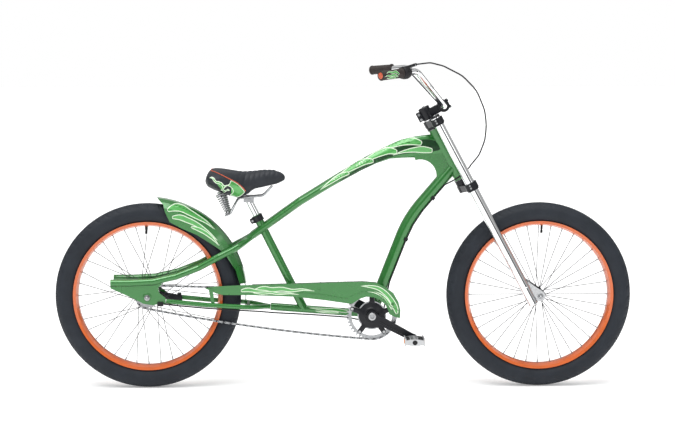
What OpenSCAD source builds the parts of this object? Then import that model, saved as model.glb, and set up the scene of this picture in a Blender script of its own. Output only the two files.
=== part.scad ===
/* [Wheels] */
// Distance between the two axles
wheelbase = 1376; // [1300:2:1450]
// Outer radius of both tyres
tyre_r = 326; // [322:0.5:330]
// Height of the tyre over its seat on the rim
tyre_h = 64; // [62:0.5:66]
// Half width of the rim
rim_half = 33; // [30:0.5:34]
// Radial depth of the rim
rim_depth = 16; // [14:0.5:18]
// Spokes in each wheel
spokes = 36; // [28:4:36]
// Radius of a spoke
spoke_r = 1.1; // [0.9:0.1:1.3]

/* [Head and steering] */
// Height of the lower end of the head tube above the floor
head_z = 735; // [730:1:740]
// How far the head tube stands behind the front axle
head_back = 277; // [272:1:282]
// Slope of the head tube from upright
rake = 28; // [27:0.25:29]
// Length of the head tube
head_len = 200; // [190:1:210]
// Outer radius of the head tube
head_r = 22; // [21:0.5:24]
// Radius of the steerer tube
steerer_r = 14.3; // [12.5:0.1:15]
// Height of a headset cup
cup_h = 12; // [10:0.5:14]
// Height of the lower headset cup with its race
cup_low_h = 20; // [16:1:24]
// Distance of a fork leg from the mid plane
leg_y = 66; // [64:0.5:72]
// How far the fork legs stand in front of the steerer
leg_fwd = 18.5; // [16:0.5:22]
// Radius of a fork leg
leg_r = 17; // [15:0.5:18]
// How far a leg reaches past the lower end of the head tube
leg_drop = 504; // [500:1:508]
// Thickness of the lower fork crown
crown_low_h = 24; // [20:1:28]
// Thickness of the upper fork crown
crown_top_h = 22; // [18:1:26]

/* [Handlebar] */
// Radius of the handlebar tube
bar_r = 11.1; // [10.5:0.1:12]
// Width across the grip ends
bar_w = 700; // [680:5:720]
// Height of the bends above the clamp
bar_rise = 127; // [120:1:135]
// Length of a grip
grip_len = 92; // [88:1:96]
// Radius of a grip
grip_r = 16; // [15:0.5:17]
// Reach of the stem from the steerer to the handlebar
stem_reach = 65; // [60:1:70]

/* [Frame] */
// Height of the crank axle above the floor
crank_z = 259; // [256:1:262]
// Distance of the crank axle in front of the rear axle
crank_x = 785; // [780:1:790]
// Radius of the down tube
down_r = 21.5; // [20:0.5:23]
// Radius of the seat tube
seat_tube_r = 15; // [14.5:0.5:16]
// Radius of the lower main tube
lower_r = 13.5; // [12.5:0.5:14.5]
// Radius of a seat stay
stay_r = 12; // [11:0.5:12.5]
// Distance of a stay from the mid plane
stay_y = 68; // [67:0.5:72]
// Half height of a chain stay
chainstay_h = 8.3; // [7.5:0.1:9]
// Half thickness of a chain stay
chainstay_t = 7; // [6:0.5:7.5]
// Thickness of a dropout plate
dropout_t = 8; // [6:0.5:9]
// Radius of the bottom bracket shell
shell_r = 21; // [20:0.5:23]
// Half width of the bottom bracket shell
shell_half = 36; // [34:0.5:37]

/* [Seat] */
// Height of the saddle top where the rider sits
saddle_z = 764; // [760:1:768]
// Place of the rider on the saddle, in front of the rear axle
rider_x = 300; // [295:1:305]
// Half width of the saddle at its rear
saddle_half = 104; // [96:1:108]
// Radius of the seatpost
post_r = 12.7; // [12.5:0.1:13.6]

/* [Drive] */
// Distance of the chain from the mid plane
chain_y = 47; // [46.5:0.1:48]
// Pitch of the chain
pitch = 12.7; // [12.7]
// Teeth of the chainring
ring_teeth = 42; // [40:1:44]
// Teeth of the rear sprocket
cog_teeth = 20; // [18:1:21]
// Thickness of the toothed plates
tooth_t = 2.2; // [2:0.1:2.6]
// Width of the chain over its plates
chain_w = 8.6; // [8:0.1:9]
// Height of the chain's link plates
link_h = 8.8; // [8.4:0.1:9.4]
// Height of a link plate at its waist
link_waist = 6.4; // [5.8:0.1:7]
// Length of a crank arm
crank_len = 163; // [155:1:170]
// Angle of the right crank arm below the forward direction
crank_angle = 28; // [0:1:45]
// Length of a pedal along its axle
pedal_w = 92; // [84:1:100]
// Length of a pedal across its axle
pedal_l = 68; // [60:1:74]
// Height of a pedal
pedal_h = 26; // [22:1:28]

/* [Guards] */
// Outer radius of the rear fender
fender_r = 349; // [345:1:352]
// Half width of the rear fender
fender_half = 50; // [48:0.5:51]
// Thickness of the fender sheet
sheet_t = 2.5; // [2:0.1:3]
// Distance of the chain guard's inner face from the mid plane
guard_y = 57; // [56.8:0.1:58]
// Thickness of the chain guard
guard_t = 3; // [2:0.25:4]

/* [Hidden] */
$fn = 64;
gap = 0.3;

axle_z = tyre_r;
rim_seat_r = tyre_r - tyre_h;
tyre_section = tyre_h * 37 / 64;
head_x = wheelbase - head_back;
axle_r = 5;
pin_fit = 0.08;
green = [0.3, 0.68, 0.3];
dark = [0.13, 0.13, 0.14];
silver = [0.78, 0.79, 0.8];
orange = [0.93, 0.42, 0.16];

function unit(v) = v / norm(v);
function dir(a) = [sin(a), 0, cos(a)];

// Every piece is drawn with the rear axle over x = 0 and the floor at z = 0,
// then moved so that the rider's place on the saddle is the origin.
module bike() {
    translate([-rider_x, 0, -saddle_z]) children();
}

// The steering axis is the local z axis, and the local x axis points forward.
module steer() {
    translate([head_x, 0, head_z]) rotate([0, -rake, 0]) children();
}

// A shape drawn in the x-z plane gets a thickness along y, from y0 to y1.
module side_plate(y0, y1) {
    translate([0, y1, 0]) rotate([90, 0, 0]) linear_extrude(y1 - y0) children();
}

module rod(p, q, r) {
    d = q - p;
    translate(p)
        rotate([0, acos(d.z / norm(d)), atan2(d.y, d.x)])
        cylinder(h = norm(d), r = r);
}

// Direction of a path at its point i: along the first and last pieces at the ends.
function heading(p, i) =
    i == 0 ? unit(p[1] - p[0])
    : i == len(p) - 1 ? unit(p[i] - p[i - 1])
    : unit(unit(p[i] - p[i - 1]) + unit(p[i + 1] - p[i]));

function ring(c, t, across, tall, n) =
    let (b = unit(cross(t, [0, 1, 0])), a = cross(b, t))
    [for (k = [0 : n - 1]) c + a * across * cos(360 * k / n) + b * tall * sin(360 * k / n)];

// A tube along a path, oval if its half width and half height differ from ring to ring.
module swept(p, across, tall, n) {
    rings = len(p);
    pts = [
        for (i = [0 : rings - 1])
        let (
            w = is_list(across) ? across[i] : across,
            h = is_list(tall) ? tall[i] : tall
        )
        each ring(p[i], heading(p, i), w, h, n)
    ];
    walls = [
        for (i = [0 : rings - 2], k = [0 : n - 1])
        let (a = i * n + k, b = i * n + (k + 1) % n)
        each [[a, b + n, b], [a, a + n, b + n]]
    ];
    polyhedron(
        pts,
        concat(
            [[for (k = [0 : n - 1]) k]],
            walls,
            [[for (k = [0 : n - 1]) (rings - 1) * n + n - 1 - k]]
        )
    );
}

// A path through corners, each rounded by an arc of its own radius in a few steps.
function rounded(c, r, steps) = [
    c[0],
    for (i = [1 : len(c) - 2])
    let (
        u = unit(c[i - 1] - c[i]),
        v = unit(c[i + 1] - c[i]),
        half = acos(u * v) / 2,
        centre = c[i] + unit(u + v) * r[i] / sin(half),
        a = unit(c[i] + u * r[i] / tan(half) - centre),
        b = unit(c[i] + v * r[i] / tan(half) - centre),
        turn = acos(a * b)
    )
    for (s = [0 : steps])
    centre + r[i] * (a * sin(turn * (1 - s / steps)) + b * sin(turn * s / steps)) / sin(turn),
    c[len(c) - 1]
];

// Frame

bore_r = steerer_r + gap;

module head_tube() {
    color(green) steer() difference() {
        cylinder(h = head_len, r = head_r);
        translate([0, 0, -1]) cylinder(h = head_len + 2, r = bore_r);
    }
}

module cup(z, h) {
    translate([0, 0, z]) difference() {
        cylinder(h = h, r = head_r + 2);
        translate([0, 0, -1]) cylinder(h = h + 2, r = steerer_r + pin_fit);
    }
}

module headset_cups() {
    color(dark) steer() {
        cup(-cup_low_h, cup_low_h);
        cup(head_len, cup_h);
    }
}

// Everything in front of the steering axis, with the head tube itself.
module head_front() {
    head_solid();
    steer() translate([0, -100, -cup_h]) cube([200, 200, head_len + 2 * cup_h]);
}

module head_solid() {
    steer() translate([0, 0, -cup_h]) cylinder(h = head_len + 2 * cup_h, r = head_r);
}

// Down tube: straight up from the bottom bracket, bent forward, then straight to the head tube.
down_lean = 21.3;
down_straight = 294;
down_bend = 400;
down_turn = 19.2;
down_top = 165;
down_foot = shell_r - 8;

module down_solid(r) {
    translate([crank_x, 0, crank_z]) rotate([0, down_lean, 0]) {
        translate([0, 0, down_foot]) cylinder(h = down_straight - down_foot, r = r);
        translate([down_bend, 0, down_straight]) {
            rotate([90, 0, 180]) rotate_extrude(angle = down_turn, $fn = 200)
                translate([down_bend, 0]) circle(r, $fn = 64);
            rotate([0, down_turn, 0]) translate([-down_bend, 0, 0])
                cylinder(h = down_top, r = r);
        }
    }
}

// Place on the down tube's centre line at distance s from the crank axle, moved forward by d.
function down_at(s, d) =
    let (
        bend_s = max(0, min(s - down_straight, down_bend * down_turn * PI / 180)),
        lean = down_lean + bend_s / down_bend * 180 / PI,
        past = max(0, s - down_straight - bend_s)
    )
    [crank_x, 0, crank_z] + min(s, down_straight) * dir(down_lean)
    + down_bend * [cos(down_lean) - cos(lean), 0, sin(lean) - sin(down_lean)]
    + past * dir(lean) + d * [cos(lean), 0, -sin(lean)];

module shell_solid() {
    translate([crank_x, shell_half, crank_z]) rotate([90, 0, 0])
        cylinder(h = 2 * shell_half, r = shell_r);
}

module down_tube() {
    color(green) difference() {
        down_solid(down_r);
        head_front();
        shell_solid();
    }
}

// Top tube: place along its run, height of its middle, half width and half height. The rows
// are drawn for a head at drawn_head, and each follows the head by its share of the way there.
drawn_head = [1099, 735];
seat_end = 368;
top_rows = [
    [1040, 850, 17, 42],
    [985, 850, 18, 41],
    [940, 847, 19, 38],
    [895, 841, 21, 33],
    [843, 828, 22, 24],
    [791, 806, 22, 20],
    [740, 780, 22, 18],
    [637, 720, 21, 15.5],
    [534, 657, 21, 15],
    [450, 597, 23, 15],
    [seat_end, 538, 25.5, 14.5]
];
head_move = [head_x, head_z] - drawn_head;
top_path = [
    for (r = top_rows)
    let (share = (r[0] - seat_end) / (top_rows[0][0] - seat_end))
    [r[0] + share * head_move.x, 0, r[1] + share * head_move.y]
];

module top_solid() {
    swept(top_path, [for (r = top_rows) r[2]], [for (r = top_rows) r[3]], 20);
}

// The web under the top tube closes the corner at the head tube.
web_half = 14;
cable_r = 2.5;
web_arc = [955, 746];
web_arc_r = 58;

module web_outline() {
    translate(head_move) difference() {
        polygon([[930, 830], [1090, 840], [1050, 745], [1020, 700], web_arc]);
        translate(web_arc) circle(web_arc_r);
    }
}

module top_tube() {
    color(green) difference() {
        top_solid();
        head_front();
        seat_tube_solid();
    }
}

module head_web() {
    color(green) difference() {
        side_plate(-web_half, web_half) web_outline();
        top_solid();
        head_front();
        down_solid(down_r);
    }
}

seat_foot = [540, 0, 290];
seat_lean = -26.6;
// Height of the seat tube's lower end
seat_cut_z = 275;
// How far the seatpost stands out of the tube, and how far it goes in
post_out = 58;
post_in = 80;
// How far the top of the post is below the rider's seat
post_drop = 102.9;
post_top = (saddle_z - seat_foot.z - post_drop) / cos(seat_lean);
seat_tube_len = post_top - post_out;

module seat_tube_solid() {
    translate(seat_foot) rotate([0, seat_lean, 0])
        translate([0, 0, -20]) cylinder(h = seat_tube_len + 20, r = seat_tube_r);
}

module lower_solid() {
    rod([430, 0, 284.5], [crank_x, 0, crank_z - 2], lower_r);
}

module seat_tube() {
    color(green) difference() {
        translate(seat_foot) rotate([0, seat_lean, 0])
            translate([0, 0, -20]) cylinder(h = seat_tube_len + 20, r = seat_tube_r);
        lower_solid();
        translate([seat_foot.x - 100, -50, seat_cut_z - 100]) cube([200, 100, 100]);
        translate(seat_foot) rotate([0, seat_lean, 0])
            translate([0, 0, seat_tube_len - post_in]) cylinder(h = post_in + 10, r = post_r);
    }
}

module lower_tube() {
    color(green) difference() {
        lower_solid();
        shell_solid();
        down_solid(down_r);
    }
}

module bottom_bracket_shell() {
    color(dark) difference() {
        shell_solid();
        translate([crank_x, shell_half + 1, crank_z]) rotate([90, 0, 0])
            cylinder(h = 2 * shell_half + 2, r = spindle_r + pin_fit);
    }
}

// Seat stays: from the end of the top tube, round the fender, to the dropouts.
stay_rows = [
    [367.7, 12.6, 537.8],
    [360.7, 12.6, 532.8],
    [348, 24, 524],
    [333, 44, 514],
    [317, 61, 504],
    [298, stay_y, 493],
    [250, stay_y, 469],
    [181, stay_y, 432],
    [101, stay_y, 401],
    [21, stay_y, 383],
    [-59, stay_y, 379],
    [-127, stay_y, 379]
];

module stay_solid(side, r) {
    swept([for (row = stay_rows) [row[0], side * row[1], row[2]]], r, r, 16);
}

module seatstay(side) {
    color(green) stay_solid(side, stay_r);
}

module seatstay_right() { seatstay(-1); }
module seatstay_left() { seatstay(1); }

chainstay_rows = [
    [429.5, 7.5, 284.6],
    [421, 7.5, 285.3],
    [410, 15, 286.2],
    [388, 38, 288],
    [362, 60, 290],
    [338, stay_y, 292],
    [207, stay_y, 300],
    [66, stay_y, 314]
];

module chainstay_solid(side, grow) {
    swept(
        [for (row = chainstay_rows) [row[0], side * row[1], row[2]]],
        chainstay_t + grow, chainstay_h + grow, 16
    );
}

module chainstay(side) {
    color(green) chainstay_solid(side, 0);
}

module chainstay_right() { chainstay(-1); }
module chainstay_left() { chainstay(1); }

// Dropout plate: it hangs under the stay's rear end and holds the axle in a bore.
drop_outline = [
    [-127, 366.8], [-59, 366.8], [21, 370.8], [55, 377.5], [39, 362], [42, 343],
    [64.9, 325], [64.9, 303], [40, 305], [20, 300], [-14, 306], [-43, 322], [-127, 360]
];

module dropout(side) {
    y0 = side * stay_y - dropout_t / 2;
    color(green) difference() {
        side_plate(y0, y0 + dropout_t) polygon(drop_outline);
        translate([0, 100, axle_z]) rotate([90, 0, 0]) cylinder(h = 200, r = axle_r);
    }
}

module dropout_right() { dropout(-1); }
module dropout_left() { dropout(1); }

module on_seat_tube(z) {
    translate(seat_foot) rotate([0, seat_lean, 0]) translate([0, 0, z]) children();
}

module seat_collar() {
    color(dark) on_seat_tube(seat_tube_len - 24) difference() {
        union() {
            cylinder(h = 22, r = seat_tube_r + 4);
            translate([-28, -7, 2]) cube([16, 14, 18]);
        }
        translate([0, 0, -1]) cylinder(h = 24, r = seat_tube_r);
        translate([-30, -1, -1]) cube([20, 2, 24]);
    }
}

module seatpost() {
    color(silver) on_seat_tube(seat_tube_len - post_in)
        cylinder(h = post_out + post_in, r = post_r);
}

// Seat

// Rails: two rods from the nose past the clamp, and down to the springs' lower ends.
rail_y = 22;
rail_r = 3.5;
spring_y = 56;
spring_foot = [282, 620];
spring_head = [257, 688];
clamp_at = [seat_foot.x + post_top * sin(seat_lean), 0, seat_foot.z + post_top * cos(seat_lean)];

module saddle_rails() {
    rail_z = clamp_at.z + 9;
    color(silver) {
        for (s = [-1, 1])
            swept(rounded([
                [spring_foot.x - 9, s * (spring_y + 3), spring_foot.y - rail_r - 4],
                [spring_foot.x + 9, s * (spring_y - 5), spring_foot.y - rail_r + 2],
                [318, s * rail_y, rail_z],
                [405, s * rail_y, rail_z + 8],
                [437, s * 14, 711]
            ], [0, 12, 20, 25, 0], 3), rail_r, rail_r, 10);
        difference() {
            translate([clamp_at.x - 18, -rail_y + rail_r + gap, clamp_at.z - 6])
                cube([36, 2 * (rail_y - rail_r - gap), 24]);
            on_seat_tube(0) cylinder(h = post_top, r = post_r);
        }
    }
}

spring_low_r = 9;
spring_high_r = 19;
spring_turns = 5;
wire_r = 2.4;
spring_cap = 4;
spring_len = norm(spring_head - spring_foot);

module at_spring(s) {
    translate([spring_foot.x, s * spring_y, spring_foot.y])
        rotate([0, atan2(spring_head.x - spring_foot.x, spring_head.y - spring_foot.y), 0])
        children();
}

module spring_solid(s, grow) {
    at_spring(s) {
        cylinder(h = spring_len + grow, r1 = spring_low_r + grow, r2 = spring_high_r + grow);
        translate([0, 0, spring_len - spring_cap - grow])
            cylinder(h = spring_cap + 2 * grow, r = spring_high_r + grow);
    }
}

// Each ring of the coil stands upright and faces round the spring's axis.
module coil() {
    sides = 8;
    per_turn = 12;
    rings = spring_turns * per_turn;
    low = spring_cap + wire_r + gap / 2;
    rise = spring_len - 2 * low;
    pts = [
        for (i = [0 : rings])
        let (
            a = 360 * i / per_turn,
            up = low + rise * i / rings,
            r = spring_low_r + (spring_high_r - spring_low_r) * up / spring_len - wire_r
        )
        for (k = [0 : sides - 1])
        let (q = r + wire_r * cos(360 * k / sides))
        [q * cos(a), q * sin(a), up + wire_r * sin(360 * k / sides)]
    ];
    polyhedron(pts, concat(
        [[for (k = [0 : sides - 1]) sides - 1 - k]],
        [
            for (i = [0 : rings - 1], k = [0 : sides - 1])
            let (a = i * sides + k, b = i * sides + (k + 1) % sides)
            each [[a, b, b + sides], [a, b + sides, a + sides]]
        ],
        [[for (k = [0 : sides - 1]) rings * sides + k]]
    ));
}

module saddle_springs() {
    color(silver) for (s = [-1, 1]) at_spring(s) {
        cylinder(h = spring_cap, r = spring_low_r);
        coil();
        translate([0, 0, spring_len - spring_cap])
            cylinder(h = spring_cap, r = spring_high_r);
    }
}

// Saddle sections from rear to nose: place, half width, top, bottom.
saddle_rows = [
    [209, 0.80, 768, 726],
    [222, 0.97, 776, 708],
    [250, 1.00, 775, 694],
    [290, 0.90, 768, 676],
    [322, 0.66, 764, 664],
    [350, 0.48, 765, 674],
    [380, 0.38, 767, 694],
    [412, 0.30, 770, 705],
    [445, 0.24, 769, 716],
    [470, 0.20, 758, 724],
    [483, 0.12, 745, 732]
];
saddle_path = [for (r = saddle_rows) [r[0], 0, (r[2] + r[3]) / 2]];

// The saddle's underside is open, with room for the rails, the clamp and the springs.
saddle_hollow = [[238, 600], [238, 698], [345, 698], [400, 708], [445, 717], [500, 722], [500, 600]];

module saddle() {
    color(dark) difference() {
        swept(
            saddle_path,
            [for (r = saddle_rows) r[1] * saddle_half],
            [for (r = saddle_rows) (r[2] - r[3]) / 2],
            20
        );
        side_plate(-34, 34) polygon(saddle_hollow);
        for (s = [-1, 1]) spring_solid(s, gap);
    }
}

// Guards

fender_low_z = 371;
crease_r = fender_r - 31;
skirt_r = 258;

// Half of the fender's section, as radius and distance from the mid plane.
function fender_half_section(t) = [
    [fender_r - t, 0],
    [fender_r - 3 - t, 20],
    [fender_r - 13 - t, 38],
    [crease_r - t * 0.6, fender_half - t],
    [skirt_r, fender_half - t]
];

// What the sheet keeps, seen from the side: the tail, the skirt's edge and the front end.
fender_outline = [
    [33, 690], [33, 673], [57, 650], [64, 622], [80, 589], [121, 567], [172, 545], [223, 513],
    [256, 490], [279, 464], [308, 420], [322, fender_low_z], [380, fender_low_z], [380, 690]
];

module rear_fender() {
    color(green) intersection() {
        translate([0, 0, axle_z]) rotate([90, 0, 0]) rotate_extrude($fn = 200)
            difference() {
                fender_profile(0);
                fender_profile(sheet_t);
            }
        side_plate(-fender_half - 10, fender_half + 10) polygon(fender_outline);
    }
}

// The section is closed towards the axle, and the sheet is what the inner profile leaves.
module fender_profile(t) {
    half = fender_half_section(t);
    low = t > 0 ? 1 : 0;
    polygon(concat(
        [[skirt_r - low, -half[4].y]],
        [for (i = [3 : -1 : 1]) [half[i].x, -half[i].y]],
        [for (i = [0 : 3]) half[i]],
        [[skirt_r - low, half[4].y]]
    ));
}

// Two bridges between the stays carry the fender: the upper one by a block against its crown,
// the lower one by a strap under its front end.
upper_bridge = [324, 508];
lower_bridge = [350.8, 291.5];
bridge_r = 7;
strap_half = 12;

module fender_brackets() {
    // The crown falls by 1.8 over the strap's half width.
    strap_r = fender_r - sheet_t - 1.8 - gap;
    color(green) {
        difference() {
            union() {
                disc(upper_bridge.x, upper_bridge.y, -51, 51, bridge_r);
                side_plate(-strap_half, strap_half)
                    polygon([upper_bridge + [6, -2], upper_bridge + [-4, 6], [296, 500], [312, 476]]);
            }
            disc(0, axle_z, -30, 30, fender_r + gap, $fn = 200);
            stay_solid(1, stay_r + gap);
            stay_solid(-1, stay_r + gap);
        }
        difference() {
            union() {
                disc(lower_bridge.x, lower_bridge.y, -61, 61, bridge_r);
                side_plate(-strap_half, strap_half) intersection() {
                    translate([0, axle_z]) difference() {
                        circle(strap_r, $fn = 200);
                        circle(strap_r - 3, $fn = 200);
                    }
                    translate([300, lower_bridge.y]) square([60, 120]);
                }
            }
            chainstay_solid(1, gap);
            chainstay_solid(-1, gap);
        }
    }
}

guard_outline = [
    [201, 358], [234, 364], [324, 368], [498, 372], [638, 376], [751, 379], [799, 375],
    [831, 360], [861, 337], [878, 307], [885, 278], [884, 250], [870, 252], [846, 264],
    [842, 278], [832, 298], [813, 315], [791, 324], [765, 326], [741, 318], [717, 302],
    [703, 302], [622, 314], [546, 323], [509, 327], [357, 333], [261, 334], [241, 339]
];

// The guard's upper edge turns in over the chain.
lip_t = 2.5;
lip_w = 18;

module chain_guard() {
    color(green) {
        side_plate(-guard_y - guard_t, -guard_y) polygon(guard_outline);
        side_plate(-guard_y, -guard_y + lip_w) intersection() {
            difference() {
                polygon(guard_outline);
                translate([-lip_t, -lip_t]) polygon(guard_outline);
            }
            translate([366, 300]) square([600, 200]);
        }
    }
}

module chain_guard_bracket() {
    y1 = -guard_y - guard_t - gap;
    color(green) difference() {
        side_plate(y1 - 3, y1) polygon([[214, 356], [228, 356], [236, 298], [224, 298]]);
        chainstay_solid(-1, gap);
    }
}

// Drive

function cog_r(teeth) = pitch / (2 * sin(180 / teeth));
ring_r = cog_r(ring_teeth);
cog_pitch_r = cog_r(cog_teeth);
tooth_tip = 4;
tooth_root = 3.6;
chain_run = norm([crank_x, crank_z - axle_z]);
chain_slope = atan2(crank_z - axle_z, crank_x);
// The lower run hangs a little.
chain_sag = 12;
tangent = asin((ring_r - cog_pitch_r) / chain_run);
spindle_r = 8.5;

// The chain follows the two toothed wheels and the straight runs between them.
// Each stretch is given by its length, so a place on the chain is a distance along it.
run_len = chain_run * cos(tangent);
front_wrap = PI * ring_r * (180 + 2 * tangent) / 180;
rear_wrap = PI * cog_pitch_r * (180 - 2 * tangent) / 180;
chain_len = 2 * run_len + front_wrap + rear_wrap;
links = 2 * round(chain_len / pitch / 2);

// Place on the chain at distance s, moved outward by d, in the plane of the chain.
function on_chain(s, d) =
    s < run_len ? let (
        n = [cos(90 + tangent), sin(90 + tangent)]
    ) (cog_pitch_r + d) * n + s * [sin(90 + tangent), -cos(90 + tangent)]
    : s < run_len + front_wrap ? let (
        a = 90 + tangent - (s - run_len) / ring_r * 180 / PI
    ) [chain_run, 0] + (ring_r + d) * [cos(a), sin(a)]
    : s < 2 * run_len + front_wrap ? let (
        n = [cos(90 + tangent), -sin(90 + tangent)],
        back = s - run_len - front_wrap
    ) [chain_run, 0] + (ring_r + d) * n - back * [sin(90 + tangent), cos(90 + tangent)]
    - [0, 4 * chain_sag * back * (run_len - back) / run_len ^ 2]
    : let (
        a = -90 - tangent - (s - 2 * run_len - front_wrap) / cog_pitch_r * 180 / PI
    ) (cog_pitch_r + d) * [cos(a), sin(a)];

// One edge of the links: full height at each pin and a waist half way to the next.
module link_edge(side) {
    step = chain_len / links;
    polygon([
        for (k = [0 : links - 1])
        each [
            on_chain((k + 0.3) * step, side * link_h / 2),
            on_chain((k + 0.7) * step, side * link_h / 2),
            on_chain((k + 1) * step, side * link_waist / 2)
        ]
    ]);
}

module chain() {
    color(silver) translate([0, 0, axle_z]) rotate([0, -chain_slope, 0]) difference() {
        side_plate(-chain_y - chain_w / 2, -chain_y + chain_w / 2) difference() {
            link_edge(1);
            link_edge(-1);
        }
        tooth_slot(0, cog_pitch_r);
        tooth_slot(chain_run, ring_r);
    }
}

// The room between the link plates where the teeth pass.
module tooth_slot(x, r) {
    translate([x, -chain_y + tooth_t / 2 + 1, 0]) rotate([90, 0, 0])
        cylinder(h = tooth_t + 2, r = r + tooth_tip + 1);
}

// One tooth: place along the pitch, and height over the pitch circle.
tooth_form = [[-0.36, -tooth_root], [-0.14, tooth_tip], [0.14, tooth_tip], [0.36, -tooth_root]];

function tooth_wheel(teeth, r) = [
    for (k = [0 : teeth - 1], c = tooth_form)
    let (a = 360 * (k + c.x) / teeth, d = r + c.y)
    d * [cos(a), sin(a)]
];

module about_y(x, z, y0, y1) {
    translate([x, y1, z]) rotate([90, 0, 0]) linear_extrude(y1 - y0) children();
}

module disc(x, z, y0, y1, r) {
    translate([x, y1, z]) rotate([90, 0, 0]) cylinder(h = y1 - y0, r = r);
}

cog_y = -chain_y;

module sprocket() {
    color(silver) difference() {
        union() {
            about_y(0, axle_z, cog_y - tooth_t / 2, cog_y + tooth_t / 2)
                polygon(tooth_wheel(cog_teeth, cog_pitch_r));
            disc(0, axle_z, cog_y - 9, cog_y + 6, 19);
        }
        disc(0, axle_z, cog_y - 20, cog_y + 20, axle_r + pin_fit);
    }
}

ring_band = 10;
arms = 5;
boss_r = 21;

module chainring() {
    color(silver) {
        about_y(crank_x, crank_z, cog_y - tooth_t / 2, cog_y + tooth_t / 2) difference() {
            union() {
                difference() {
                    polygon(tooth_wheel(ring_teeth, ring_r));
                    circle(ring_r - tooth_root - ring_band);
                }
                circle(50);
                for (k = [0 : arms - 1])
                    rotate(90 + 360 * k / arms) translate([30, -9]) square([ring_r - 40, 18]);
            }
            circle(spindle_r);
        }
    }
}

module arm_frame(side) {
    turn = side < 0 ? crank_angle : crank_angle + 180;
    translate([crank_x, 0, crank_z]) rotate([0, turn, 0]) children();
}

arm_in = 66;
arm_out = 84;
pedal_bore = 7;

module crank_arm(side) {
    y0 = side < 0 ? -arm_out : arm_in;
    y1 = side < 0 ? -arm_in : arm_out;
    arm_frame(side) difference() {
        side_plate(y0, y1) {
            circle(18);
            translate([crank_len, 0]) circle(14);
            polygon([[0, 16], [crank_len, 12.5], [crank_len, -12.5], [0, -16]]);
        }
        side_plate(y0 - 1, y1 + 1) translate([crank_len, 0]) circle(pedal_bore);
        side_plate(-100, 100) circle(spindle_r);
        side_plate(side < 0 ? -arm_out - 1 : arm_out - 3, side < 0 ? -arm_out + 3 : arm_out + 1)
            translate([32, -5]) square([crank_len - 60, 10]);
    }
}

module crank_arms() {
    color(dark) {
        crank_arm(-1);
        crank_arm(1);
        difference() {
            disc(crank_x, crank_z, -arm_in, cog_y - tooth_t / 2, boss_r);
            disc(crank_x, crank_z, -arm_in - 1, 0, spindle_r);
        }
    }
}

module crank_spindle() {
    color(silver) disc(crank_x, crank_z, -arm_out - 2, arm_out + 2, spindle_r);
}

cage_t = 4;
teeth_row = 6;
tooth_step = pedal_w / teeth_row;
barrel_r = 10;

// A pedal: a barrel round its axle, two end plates, and a toothed cage plate front and rear.
module pedal(side) {
    way = side < 0 ? 1 : -1;
    z0 = crank_z - way * crank_len * sin(crank_angle);
    x0 = crank_x + way * crank_len * cos(crank_angle);
    near = arm_out + 8;
    far = near + pedal_w;
    low = side < 0 ? -far : near;
    color(silver) translate([x0, 0, z0]) {
        difference() {
            union() {
                disc(0, 0, low + 1, low + pedal_w - 1, barrel_r);
                for (y = [low, low + pedal_w - cage_t])
                    side_plate(y, y + cage_t) polygon([
                        [-pedal_l / 2, -7], [-pedal_l / 2, 7], [-12, 11], [12, 11],
                        [pedal_l / 2, 7], [pedal_l / 2, -7], [12, -11], [-12, -11]
                    ]);
                for (s = [-1, 1])
                    translate([s * (pedal_l - cage_t) / 2, low + pedal_w, -pedal_h / 2])
                        rotate([90, 0, 0]) translate([-cage_t / 2, 0, 0])
                        cube([cage_t, pedal_h, pedal_w]);
            }
            for (k = [0 : teeth_row - 1], s = [-1, 1], z = [-1, 1])
                translate([s * pedal_l / 2 - 10, low + (k + 0.75) * tooth_step, z * pedal_h / 2 - 2.5])
                    cube([20, tooth_step / 2, 5]);
        }
        disc(0, 0, side < 0 ? -near - 2 : arm_in, side < 0 ? -arm_in : near + 2, pedal_bore - pin_fit);
    }
}

module pedal_right() { pedal(-1); }
module pedal_left() { pedal(1); }

// Wheels

axle_half = 88;
nut_r = 10;
nut_h = 9;

module rear_axle() {
    nut_in = stay_y + dropout_t / 2 + gap;
    nut_out = nut_in + nut_h;
    color(dark) {
        disc(0, axle_z, -axle_half, axle_half, axle_r);
        for (s = [-1, 1])
            disc(0, axle_z, s < 0 ? -nut_out : nut_in, s < 0 ? -nut_in : nut_out, nut_r);
    }
}

arm_y = 52;

module chainstay_box() {
    translate([90, stay_y - chainstay_t - gap, 299.5]) cube([30, 2 * (chainstay_t + gap), 21.5]);
}

module coaster_arm() {
    color(dark) {
        difference() {
            side_plate(arm_y, arm_y + 3) {
                polygon([[0, 340], [116, 318], [116, 297], [0, 312]]);
                translate([0, axle_z]) circle(14);
            }
            disc(0, axle_z, 0, 100, axle_r);
        }
        difference() {
            translate([98, arm_y + 3 + gap, 296]) cube([14, stay_y + chainstay_t - arm_y, 29]);
            chainstay_box();
        }
    }
}

module wheel_at(x) {
    translate([x, 0, axle_z]) rotate([90, 0, 0]) children();
}

module tyre() {
    color(dark) rotate_extrude($fn = 240) difference() {
        translate([tyre_r - tyre_section, 0]) circle(tyre_section);
        translate([rim_seat_r - 100, -100]) square([100, 200]);
    }
}

module rim() {
    inner = rim_seat_r - rim_depth;
    color(orange) rotate_extrude($fn = 240) polygon([
        [inner, -15], [inner, 15], [inner + 6, rim_half - 2], [rim_seat_r, rim_half],
        [rim_seat_r, -rim_half], [inner + 6, 2 - rim_half]
    ]);
}

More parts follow.
